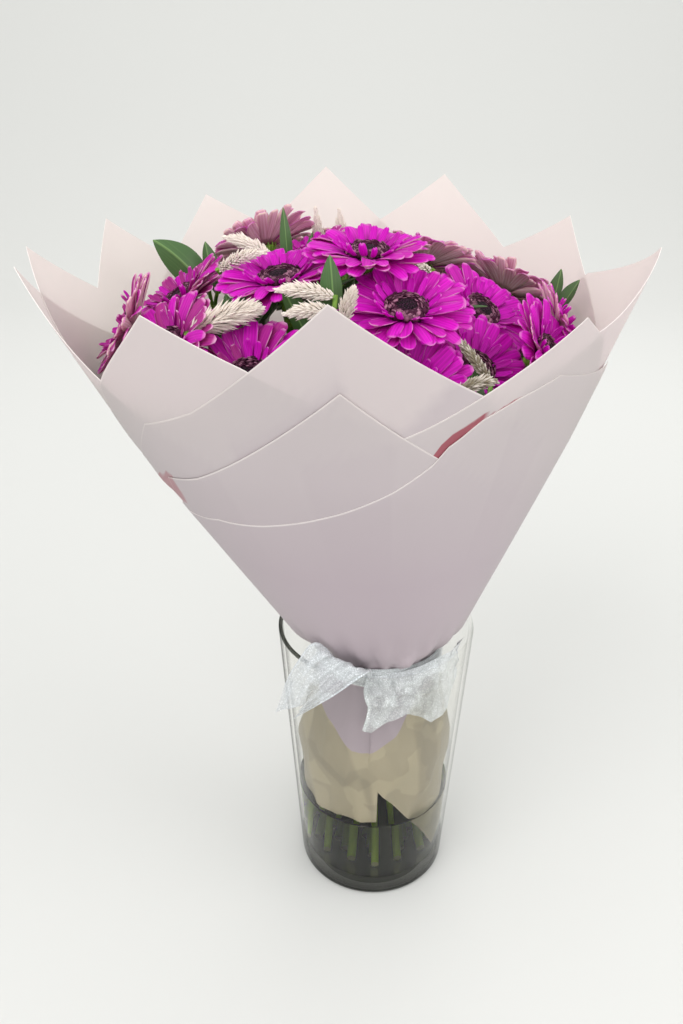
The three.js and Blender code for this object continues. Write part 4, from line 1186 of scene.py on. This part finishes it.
def copies(name, placed):
    """One mesh of many copies; each is a pattern piece, its 4 x 4 place or its moved points,
    and its tone."""
    points, corners, tones = [], [], []
    start = 0
    for pattern, place, tone in placed:
        moved = place
        if isinstance(place, Matrix):
            grid = np.array(place)
            moved = pattern["points"] @ grid[:3, :3].T + grid[:3, 3]
        points.append(moved)
        corners.append(pattern["corners"] + start)
        tones.append(np.full(len(moved), tone))
        start += len(moved)
    counts, slots, plans = [
        np.concatenate([pattern[key] for pattern, _, _ in placed])
        for key in ("counts", "slots", "plan")
    ]
    points, corners = np.concatenate(points) * MM, np.concatenate(corners)
    mesh = bpy.data.meshes.new(name)
    mesh.vertices.add(len(points))
    mesh.vertices.foreach_set("co", points.ravel())
    mesh.loops.add(len(corners))
    mesh.loops.foreach_set("vertex_index", corners)
    mesh.polygons.add(len(counts))
    mesh.polygons.foreach_set("loop_start", np.concatenate([[0], np.cumsum(counts)[:-1]]))
    mesh.polygons.foreach_set("material_index", slots)
    mesh.update(calc_edges=True)
    mesh.uv_layers.new(name="flat").data.foreach_set("uv", plans.ravel())
    mesh.attributes.new("tone", "FLOAT", "POINT").data.foreach_set("value", np.concatenate(tones))
    mesh.validate()
    obj = bpy.data.objects.new(name, mesh)
    bpy.context.collection.objects.link(obj)
    select_only(obj)
    return obj


def strip_pattern(name, stations, columns, thickness):
    """A blade with one row of points at each station: distance along, half width, height and
    how far its edges stand up. The first material is its face and the second its back."""
    deselect()
    rows = len(stations)
    bpy.ops.mesh.primitive_grid_add(x_subdivisions=rows - 1, y_subdivisions=columns, size=2)
    obj = named(name)
    for k, (along, half, height, cup) in enumerate(stations):
        line = -1 + 2 * k / (rows - 1)
        select_where(obj, lambda co: abs(co.x - line) < 1e-4 and co.z > -ASIDE / 2)
        bpy.ops.transform.resize(value=(1, half, 1))
        bpy.ops.transform.translate(value=(along - line + ASIDE, 0, height))
        select_where(obj, lambda co: co.x > ASIDE / 2 and abs(abs(co.y) - half) < 1e-4)
        bpy.ops.transform.translate(value=(0, 0, cup))
        select_where(obj, lambda co: co.x > ASIDE / 2)
        bpy.ops.transform.translate(value=(-ASIDE, 0, -ASIDE))
    bpy.ops.mesh.select_all(action="SELECT")
    bpy.ops.transform.translate(value=(0, 0, ASIDE))
    bpy.ops.object.mode_set(mode="OBJECT")
    for _ in range(2):
        obj.data.materials.append(None)
    apply_modifier(
        obj, "SOLIDIFY", thickness=thickness, offset=0.0, material_offset=1, material_offset_rim=0
    )
    return blank(obj)


def petal_patterns():
    """Ray florets in millimetres, root at the origin and tip along X: full ones with arched,
    drooping and hollow backs, and the short spoons round the disc."""
    full = []
    for arch, droop, cup in PETAL_SHAPES:
        stations = [
            (0, 1.3, 0, 0.2),
            (8, 3.1, 0.55 * arch, 0.7 * cup),
            (18, 4.6, arch, cup),
            (26, 4.7, 0.85 * arch + 0.3 * droop, cup),
            (30.6, 3.6, 0.6 * arch + 0.7 * droop, 0.7 * cup),
            (32.4, 1.5, 0.5 * arch + droop, 0.3 * cup),
        ]
        full.append(strip_pattern("full_petal", stations, 4, 0.5))
    short = []
    for curl, cup in SPOON_SHAPES:
        stations = [
            (0, 0.9, 0, 0.1),
            (5, 1.9, 0.5, 0.6 * cup),
            (10, 2.3, 1.3 + 0.2 * curl, cup),
            (13, 1.7, 1.6 + 0.7 * curl, cup),
            (14.2, 0.6, 1.6 + curl, 0.5 * cup),
        ]
        spoon = strip_pattern("short_petal", stations, 4, 0.45)
        # A spoon is magenta on both sides
        spoon["slots"][:] = 0
        short.append(spoon)
    return full, short


def cone_pattern(name, sides, stations):
    """A closed floret along X: a cone's rings at their distances and radii."""
    (foot, wide), (top, _) = stations[0], stations[-1]
    deselect()
    bpy.ops.mesh.primitive_cone_add(
        vertices=sides, radius1=wide, radius2=0, depth=top - foot, location=(0, 0, (top + foot) / 2)
    )
    obj = named(name)
    bpy.ops.object.transform_apply(location=True)
    bpy.ops.object.mode_set(mode="EDIT")
    for along, reach in stations[1:-1]:
        bpy.ops.mesh.select_all(action="SELECT")
        bpy.ops.mesh.bisect(plane_co=(0, 0, along), plane_no=(0, 0, 1))
        there = wide * (top - along) / (top - foot)
        select_where(obj, lambda co: abs(co.z - along) < 1e-4)
        bpy.ops.transform.resize(value=(reach / there, reach / there, 1))
    bpy.ops.mesh.select_all(action="SELECT")
    bpy.ops.mesh.normals_make_consistent(inside=False)
    bpy.ops.object.mode_set(mode="OBJECT")
    obj.rotation_euler = (0, math.pi / 2, 0)
    select_only(obj)
    bpy.ops.object.transform_apply(rotation=True)
    return blank(obj)


def spread_round(turn, root, height, pitch, twist=0.0, scale=(1, 1, 1)):
    """A place round a bloom's axis: azimuth, root radius and height, and the pitch upwards."""
    return (
        Matrix.Rotation(turn, 4, "Z")
        @ Matrix.Translation((root, 0, height))
        @ Matrix.Rotation(-pitch, 4, "Y")
        @ Matrix.Rotation(twist, 4, "X")
        @ Matrix.Diagonal((*scale, 1))
    )


def ray_petals(chance, bloom, petals, full, short):
    """The petals of one bloom: two full rings and a broken ring of short spoons."""
    frame_of, size = bloom_frame(bloom), bloom[3]
    # The older blooms stand at the left and at the back
    age = 2.0 if bloom[0][0] < -75 or bloom[0][1] > 40 else 1.0
    placed = []
    for patterns, (fewer, root, height, pitch, reach) in zip((full, full, short), PETAL_RINGS):
        count = petals - fewer
        for k in range(count):
            turn = math.tau * (k + chance.uniform(-0.22, 0.22) + 0.4 * (reach < 1)) / count
            tip = math.radians(pitch + chance.gauss(0, 3.2))
            twist = math.radians(chance.gauss(0, 9))
            long = reach * size * chance.uniform(1.0, 1.12)
            wide = size * chance.uniform(0.86, 1.1)
            place = frame_of @ spread_round(turn, root, height, tip, twist, (long, wide, 1))
            placed.append((chance.choice(patterns), place, age * chance.uniform(0.5, 1.8)))
    return placed


def disc_florets(chance, bloom, ray, bud):
    """The disc of one bloom: open florets round an eye of closed ones."""
    frame_of, size = bloom_frame(bloom), bloom[3]
    opened, closed = [], []
    for k in range(RING_FLORETS):
        share = (k + 0.5) / RING_FLORETS
        root = size * (6.0 + 3.2 * share)
        pitch = math.radians(60 - 42 * share + chance.gauss(0, 9))
        turn = k * GOLDEN_ANGLE + chance.gauss(0, 0.1)
        long = size * (0.5 + 0.34 * share) * chance.uniform(0.85, 1.15)
        place = spread_round(turn, root, 3.4, pitch, 0, (long, 0.44, 0.44))
        opened.append((ray, frame_of @ place, chance.uniform(0.7, 1.1)))
    for k in range(EYE_BUDS):
        root = size * EYE_RADIUS * math.sqrt((k + 0.5) / EYE_BUDS)
        height = EYE_HEIGHT - 0.03 * root ** 2
        place = spread_round(k * GOLDEN_ANGLE, root, height, math.radians(90 - 2.5 * root))
        closed.append((bud, frame_of @ place, chance.uniform(0.3, 1.0)))
    return opened, closed


class BOUQUET_OT_blooms(bpy.types.Operator):
    """Models the petals once and copies them into every bloom"""

    bl_idname = "bouquet.blooms"
    bl_label = "Gerbera blooms"

    def execute(self, context):
        settings = context.scene.bouquet_blooms
        chance = random.Random(11)
        size = settings.radius / FULL_BLOOM
        face = petal_tissue(
            "gerbera_petal_face", settings.deep_and_groove_shade, settings.face, settings.aged, settings.rim,
            rim_from=0.43, passing=0.32,
        )
        back = petal_tissue(
            "gerbera_petal_back", settings.back_deep, settings.back, settings.back,
            settings.back_rim, rim_from=0.36, passing=0.3,
        )
        floret = floret_tissue("gerbera_ring_floret", settings.ring, settings.floret, 0.84)
        bud = floret_tissue("gerbera_eye_bud", settings.eye, settings.bud, 0.6)
        full, short = petal_patterns()
        ray = cone_pattern("ray", 5, [(0, 0.45), (2.4, 0.5), (4.6, 0.75), (5.6, 0.35), (5.9, 0)])
        button = cone_pattern("bud", 5, [(0, 0.6), (1.4, 0.65), (2.3, 0.3), (2.5, 0)])
        # The first material is for a disc's ring and the second for its eye
        button["slots"][:] = 1
        for k, (at, tilt, azimuth, share) in enumerate(BLOOMS, 1):
            bloom = (at, tilt, azimuth, share * size)
            petals = ray_petals(chance, bloom, settings.petals, full, short)
            opened, closed = disc_florets(chance, bloom, ray, button)
            parts = (
                ("rays", "petal", "petals", petals, [face, back]),
                ("disc", "disc", "disc", opened + closed, [floret, bud]),
            )
            for part, slot, node, placed, materials in parts:
                piece = copies(f"bloom_{k:02d}_{part}", placed)
                piece.data.polygons.foreach_set("use_smooth", [True] * len(piece.data.polygons))
                finish_piece(piece, materials, f"gerbera_{k:02d}_{node}")
        return {"FINISHED"}


def bind_places(count):
    """Places of the stems round the tie: the middle, then rings of six, twelve and eighteen."""
    places = [(0.0, 0.0)]
    ring = 0
    while len(places) < count:
        ring += 1
        for k in range(6 * ring):
            side, step = divmod(k, ring)
            corner, far = [
                Vector((math.cos(turn), math.sin(turn))) * ring
                for turn in (side * math.pi / 3, (side + 1) * math.pi / 3)
            ]
            spot = corner.lerp(far, step / ring) * STEM_PITCH
            places.append((spot.length, math.atan2(spot.y, spot.x)))
    return places[:count]


def stem_lines():
    """Every stem's top half, its bottom half and its radius, in the order of the heads."""
    heads = []
    for at, tilt, azimuth, _ in BLOOMS:
        along = facing(tilt, azimuth)
        heads.append((Vector(at) + along * (CALYX_FOOT + 2), along, STEM_RADIUS))
    for joint, _ in CELOSIA + LEAVES:
        top = Vector(joint)
        heads.append((top, (top - SPRAY_SOURCE).normalized(), SPRAY_STEM_RADIUS))
    order = sorted(
        range(len(heads)), key=lambda k: math.hypot(heads[k][0].x - TIE_CENTRE_X, heads[k][0].y)
    )
    places = bind_places(len(heads))
    lines = {}
    # The heads nearest the middle take the inner rings of the tie, each ring in order of azimuth
    for first, last in ((0, 1), (1, 7), (7, 19), (19, 37)):
        inner = sorted(order[first:last], key=lambda k: math.atan2(heads[k][0].y, heads[k][0].x))
        spots = sorted(places[first:last], key=lambda spot: (spot[1] + math.pi) % math.tau)
        for k, (radius, turn) in zip(inner, spots):
            top, along, thick = heads[k]
            x, y = radius * math.cos(turn), radius * math.sin(turn)
            bind = Vector((TIE_CENTRE_X + x, y, BIND_HEIGHT))
            foot_turn = turn + FOOT_TURN
            foot = Vector((math.cos(foot_turn), math.sin(foot_turn), 0)) * FOOT_SPREAD * radius
            foot.z = GLASS_FLOOR + 1
            lines[k] = ([bind, top - along * NECK_LENGTH, top], [bind, foot], thick)
    return [lines[k] for k in range(len(heads))]


def tube(name, points, radii, sides=10):
    """A closed tube along a line of points, with a radius at each."""
    curve = bpy.data.curves.new(name, "CURVE")
    curve.dimensions = "3D"
    curve.bevel_depth = MM
    curve.bevel_resolution = (sides - 4) // 2
    curve.use_fill_caps = True
    spline = curve.splines.new("POLY")
    spline.points.add(len(points) - 1)
    for spot, place, radius in zip(spline.points, points, radii):
        spot.co = (*(Vector(place) * MM), 1)
        spot.radius = radius
    obj = bpy.data.objects.new(name, curve)
    bpy.context.collection.objects.link(obj)
    select_only(obj)
    bpy.ops.object.convert(target="MESH")
    return bpy.context.object


def joined_piece(name, objects):
    """Several objects made one."""
    select_only(*objects)
    bpy.ops.object.join()
    joined = named(name)
    bpy.ops.object.shade_smooth_by_angle(angle=math.radians(45))
    return joined


def stem_tubes(chance, upper, lower, thick):
    """One stem: its top half, which gets thinner to the head, and its foot, which sways a little
    and is cut at a slant, here with the cut to the front."""
    line = smooth_line(upper, 14)
    top = tube("stem", line, [thick * (1 - 0.12 * t) for t in np.linspace(0, 1, len(line))])
    foot = smooth_line(lower, 12)
    sway = np.array([chance.uniform(-1.5, 1.5), chance.uniform(-1.5, 1.5), 0.0])
    bow = np.sin(np.linspace(0, math.pi, len(foot)))[:, None] * sway
    stem = tube("stem", foot + bow, [thick] * len(foot))
    end = foot[-1]
    for vertex in stem.data.vertices:
        if vertex.co.z < (end[2] + 1) * MM:
            vertex.co.z += CUT_SLOPE * ((end[1] + thick) * MM - vertex.co.y)
    return [top, stem]


class BOUQUET_OT_stems(bpy.types.Operator):
    """Runs a stem from every head through the tie to the vase's floor, with cups under blooms"""

    bl_idname = "bouquet.stems"
    bl_label = "Stems"

    def execute(self, context):
        settings = context.scene.bouquet_foliage
        chance = random.Random(5)
        tubes = [part for line in stem_lines() for part in stem_tubes(chance, *line)]
        # A turned piece is in metres and a pattern in millimetres
        cup = blank(turned_piece("cup", [(r / MM, z / MM) for r, z in CUP_PROFILE], 14))
        bract = strip_pattern("bract", BRACT_STATIONS, 2, 0.35)
        placed = []
        for bloom in BLOOMS:
            frame_of = bloom_frame(bloom)
            placed.append((cup, frame_of, 0.6))
            for ring, (root, height, count, pitch) in enumerate(BRACT_RINGS):
                for k in range(count):
                    turn = math.tau * (k + 0.5 * ring) / count
                    place = spread_round(turn, root, height, math.radians(pitch))
                    placed.append((bract, frame_of @ place, chance.uniform(0.5, 1.1)))
        stems = joined_piece("green_stems", [*tubes, copies("cups", placed)])
        finish_piece(
            stems, [stem_skin("gerbera_stem", settings), stem_pith(settings.pith)],
            "stems",
        )
        for face in stems.data.polygons:
            low = face.center.z < (GLASS_FLOOR + 20) * MM
            face.material_index = 1 if low and face.normal.z < -0.4 else 0
        return {"FINISHED"}


def spray_stalks(joint, bases):
    """The knot and the branches of one spray, as tubes."""
    stalk = Vector(joint)
    rise = (stalk - SPRAY_SOURCE).normalized()
    fork = stalk + rise * 5
    tubes = [tube("knot", [stalk + rise * 0.6, fork + rise], [STALK_RADIUS, STALK_RADIUS * 0.9], 8)]
    for base in bases:
        end = Vector(base)
        # Each branch runs 2 mm on into its head or blade
        over = end + (end - fork).normalized() * 2
        bend = fork.lerp(end, 0.5) + rise * 1.5
        line = smooth_line([tuple(fork), tuple(bend), tuple(over)], 4)
        tubes.append(tube("branch", line, [0.8 * STALK_RADIUS] * len(line), 8))
    return tubes


def spine_points(base, tip, lift, shares):
    """Points at shares of a head's or a blade's middle line, and the line's direction at each."""
    start, end = np.array(base, dtype=float), np.array(tip, dtype=float)
    middle = (start + end) / 2 + np.array([0, 0, lift])
    t = np.asarray(shares)[:, None]
    spots = (1 - t) ** 2 * start + 2 * t * (1 - t) * middle + t ** 2 * end
    ways = 2 * (1 - t) * (middle - start) + 2 * t * (end - middle)
    return spots, ways / np.linalg.norm(ways, axis=1)[:, None]


def stem_leaves(chance, blade, outline, upper):
    """Leaves on a spray's stem under its head, which fill the bouquet between the blooms."""
    line = smooth_line(upper, 14)
    rise = (Vector(line[-1]) - Vector(line[-6])).normalized()
    placed = []
    for k in range(STEM_LEAVES):
        # They stand in pairs down the stem
        spot = Vector(line[len(line) - 3 - 2 * (k // 2)])
        side = rise.orthogonal().normalized()
        side.rotate(Matrix.Rotation(k * GOLDEN_ANGLE + chance.uniform(-0.4, 0.4), 3, rise))
        length, width = chance.uniform(34, 48), chance.uniform(10, 14)
        tip = spot + rise * length * chance.uniform(0.25, 0.6) + side * length
        rows = np.array(WRAP_PROFILE).T
        centre_x, centre_y, reach_x, reach_y = [np.interp(tip.z, rows[0], row) for row in rows[1:]]
        # A leaf that would press against the wrap is left out
        x, y = (tip.x - centre_x) / (reach_x - 16), (tip.y - centre_y) / (reach_y - 16)
        if math.hypot(x, y) < 1:
            placed.append(bent_blade(blade, outline, spot, tip, width, 7, rise.cross(side)))
    return placed


def bent_blade(blade, outline, base, tip, width, lift, side):
    """A leaf laid along a curved midrib, folded a little and wavy at its edges."""
    share = np.clip(blade["points"][:, 0], 0, 1)
    off, thick = blade["points"][:, 1:2], blade["points"][:, 2:3]
    spots, ways = spine_points(base, tip, lift, share)
    across = np.array(Vector(side).normalized())
    normal = np.cross(ways, across)
    normal /= np.linalg.norm(normal, axis=1)[:, None]
    half = np.interp(share, *zip(*outline))[:, None]
    fold = 0.12 * width * (2 * np.abs(off) - half)
    wave = 0.03 * width * np.sin(9 * share)[:, None] * off
    lifted = fold + wave + thick * LEAF_THICKNESS / PATTERN_THICKNESS
    return (blade, spots + across * off * width / 2 + normal * lifted, 1.0)


def leaf_pattern():
    """A lance-shaped blade, one long and two wide, and its outline."""
    outline = [
        (t, max(0.03, math.sin(math.pi * min(1, 0.04 + 0.96 * t) ** 0.85) ** 0.8))
        for t in (k / 14 for k in range(15))
    ]
    stations = [(t, width, 0, 0) for t, width in outline]
    return strip_pattern("blade", stations, 6, PATTERN_THICKNESS), outline


def celosia_florets(chance, head, floret, pale):
    """The florets of one head: thin points that stand out all round from its spine, and how pale
    their tips are."""
    base, tip, lift, radius = head
    count = int(math.dist(base, tip) * radius * FLORET_DENSITY)
    placed = []
    shares = np.linspace(0.0, 0.97, count)
    spots, ways = spine_points(base, tip, lift, shares)
    for k, (share, spot, way) in enumerate(zip(shares, spots, ways)):
        reach = radius * math.sin(math.pi * (0.16 + 0.84 * share)) ** 0.8
        lean = math.radians(chance.uniform(28, 46)) * (1 - 0.55 * share)
        turn = Vector((0, 0, 1)).rotation_difference(Vector(way)).to_matrix().to_4x4()
        long = max(0.45, reach / (7 * math.sin(math.radians(40)))) * chance.uniform(0.85, 1.25)
        place = (
            Matrix.Translation(spot)
            @ turn
            @ Matrix.Rotation(k * GOLDEN_ANGLE, 4, "Z")
            @ Matrix.Rotation(lean - math.pi / 2, 4, "Y")
            @ Matrix.Diagonal((long, 0.9, 0.9, 1))
        )
        placed.append((floret, place, pale * chance.uniform(0.6, 1.3)))
    return placed


def spray_piece(name, node, parts):
    """One spray: groups of objects, each in its material, joined, and the imported part of their
    node hidden.
    """
    for objects, material in parts:
        for obj in objects:
            obj.data.materials.append(material)
    piece = joined_piece(name, [obj for objects, _ in parts for obj in objects])
    finish_piece(piece, [], node)


class BOUQUET_OT_celosia(bpy.types.Operator):
    """Sets feathery florets round every celosia head"""

    bl_idname = "bouquet.celosia"
    bl_label = "Celosia"

    def execute(self, context):
        settings = context.scene.bouquet_foliage
        chance = random.Random(23)
        plume = floret_tissue("celosia_plume", settings.plume_base, settings.plume, 0.2)
        green = stem_skin("celosia_stalk", settings)
        leaf = ruscus_leaf("celosia_leaf", settings.leaf, settings.vein)
        blade, outline = leaf_pattern()
        lines = stem_lines()[len(BLOOMS):]
        floret = cone_pattern("floret", 4, [(0, 0.3), (2.6, 0.5), (5.4, 0.34), (8.2, 0)])
        for k, (joint, heads) in enumerate(CELOSIA, 1):
            stalks = spray_stalks(joint, [head[0] for head in heads])
            for head in heads:
                line, _ = spine_points(*head[:3], np.linspace(0, 0.96, 9))
                stalks.append(tube("spine", line, np.linspace(1.5, 0.5, 9), 6))
            # The last spray hangs low in the shade: its florets take less of the pale tip colour,
            # painted shade that leaves them darker and greener
            pale = 0.4 if k == len(CELOSIA) else 1.0
            placed = []
            for head in heads:
                placed += celosia_florets(chance, head, floret, pale)
            plumes = copies("plumes", placed)
            leaves = copies("leaves", stem_leaves(chance, blade, outline, lines[k - 1][0]))
            spray_piece(
                f"celosia_{k:02d}_plumes", f"celosia_{k:02d}",
                [(stalks, green), ([plumes], plume), ([leaves], leaf)],
            )
        return {"FINISHED"}


class BOUQUET_OT_leaves(bpy.types.Operator):
    """Bends ruscus leaves along their midribs"""

    bl_idname = "bouquet.leaves"
    bl_label = "Leaves"

    def execute(self, context):
        settings = context.scene.bouquet_foliage
        chance = random.Random(31)
        leaf = ruscus_leaf("ruscus_leaf", settings.leaf, settings.vein)
        green = stem_skin("leaf_stalk", settings)
        blade, outline = leaf_pattern()
        lines = stem_lines()[len(BLOOMS) + len(CELOSIA):]
        for k, (joint, blades) in enumerate(LEAVES, 1):
            stalks = spray_stalks(joint, [spot[0] for spot in blades])
            placed = [bent_blade(blade, outline, *spot) for spot in blades]
            placed += stem_leaves(chance, blade, outline, lines[k - 1][0])
            spray_piece(
                f"leaf_spray_{k:02d}_blades", f"leaf_spray_{k:02d}",
                [(stalks, green), ([copies("blades", placed)], leaf)],
            )
        return {"FINISHED"}


# The photograph's view, in metres
CAMERA_PLACE = (-0.02643, -0.59635, 0.63276)
CAMERA_TILT = math.radians(62.7)
CAMERA_LENS = 32.55
# Soft lights: name, place, size, watts and what each looks at
LIGHTS = [
    ("key", (-0.9, -1.1, 1.9), 1.3, 15.5, (0, 0, 0.3)),
    ("front", (0.2, -1.7, 0.8), 1.2, 7, (0, 0, 0.5)),
    ("side", (1.4, -0.5, 1.3), 1.2, 8, (0, 0, 0.3)),
    ("back", (0.3, 1.4, 1.7), 1.2, 6, (0, 0, 0.3)),
    ("wall", (0, 1.4, 2.2), 2.4, 14, (0, 4, 0.8)),
]


class BOUQUET_OT_stage(bpy.types.Operator):
    """Sets the floor, the light and the camera"""

    bl_idname = "bouquet.stage"
    bl_label = "Stage"

    def execute(self, context):
        settings = context.scene.bouquet_stage
        context.scene.view_settings.view_transform = "Standard"
        # A sheet of paper on the floor, 8 m square, which runs up behind in a wide curve
        deselect()
        bpy.ops.mesh.primitive_plane_add(size=8)
        floor = named("studio_floor")
        select_where(floor, lambda co: co.y > 3)
        bpy.ops.mesh.extrude_region_move(TRANSFORM_OT_translate={"value": (0, 0, 5)})
        bpy.ops.mesh.select_all(action="SELECT")
        bpy.ops.mesh.normals_make_consistent(inside=False)
        select_where(floor, lambda co: co.y > 3 and co.z < 0.1)
        bpy.ops.mesh.bevel(offset=2.2, segments=24)
        bpy.ops.object.mode_set(mode="OBJECT")
        bpy.ops.object.shade_smooth()
        paper = new_material("seamless_paper")
        matte = {"Base Color": settings.floor, "Roughness": 0.9}
        shader = add_node(paper, "BsdfPrincipled", matte)
        add_node(paper, "OutputMaterial", {"Surface": shader})
        floor.data.materials.append(paper)
        world = bpy.data.worlds.new("studio")
        context.scene.world = world
        world.use_nodes = True
        sky = world.node_tree.nodes["Background"].inputs
        sky["Color"].default_value = (*srgb("#F6F7F5"), 1)
        sky["Strength"].default_value = settings.fill
        for name, place, size, power, target in LIGHTS:
            bpy.ops.object.light_add(type="AREA", location=place)
            light = context.object
            light.name = f"{name}_light"
            light.data.size = size
            light.data.energy = power
            look = Vector(target) - Vector(place)
            light.rotation_euler = look.to_track_quat("-Z", "Y").to_euler()
        bpy.ops.object.camera_add(location=CAMERA_PLACE, rotation=(CAMERA_TILT, 0, 0))
        camera = context.object
        camera.data.lens = CAMERA_LENS
        context.scene.camera = camera
        return {"FINISHED"}


STEPS = (
    BOUQUET_OT_vase,
    BOUQUET_OT_wrap,
    BOUQUET_OT_ribbon,
    BOUQUET_OT_blooms,
    BOUQUET_OT_stems,
    BOUQUET_OT_celosia,
    BOUQUET_OT_leaves,
    BOUQUET_OT_stage,
)


class BOUQUET_PT_panel(bpy.types.Panel):
    """Lists the steps that build the bouquet"""

    bl_idname = "BOUQUET_PT_panel"
    bl_label = "Gerbera bouquet"
    bl_space_type = "VIEW_3D"
    bl_region_type = "UI"
    bl_category = "Bouquet"

    def draw(self, context):
        for step in STEPS:
            self.layout.operator(step.bl_idname)


SETTINGS = {
    "bouquet_vase": VaseSettings,
    "bouquet_wrap": WrapSettings,
    "bouquet_ribbon": RibbonSettings,
    "bouquet_blooms": BloomSettings,
    "bouquet_foliage": FoliageSettings,
    "bouquet_stage": StageSettings,
}


def register():
    for group in (*SETTINGS.values(), *STEPS, BOUQUET_PT_panel):
        bpy.utils.register_class(group)
    for name, group in SETTINGS.items():
        setattr(bpy.types.Scene, name, PointerProperty(type=group))


def unregister():
    for name in SETTINGS:
        delattr(bpy.types.Scene, name)
    for group in (BOUQUET_PT_panel, *reversed(STEPS), *SETTINGS.values()):
        bpy.utils.unregister_class(group)


def main():
    register()
    bpy.ops.bouquet.vase()
    bpy.ops.bouquet.wrap()
    bpy.ops.bouquet.ribbon()
    bpy.ops.bouquet.blooms()
    bpy.ops.bouquet.stems()
    bpy.ops.bouquet.celosia()
    bpy.ops.bouquet.leaves()
    bpy.ops.bouquet.stage()


if __name__ == "__main__":
    main()
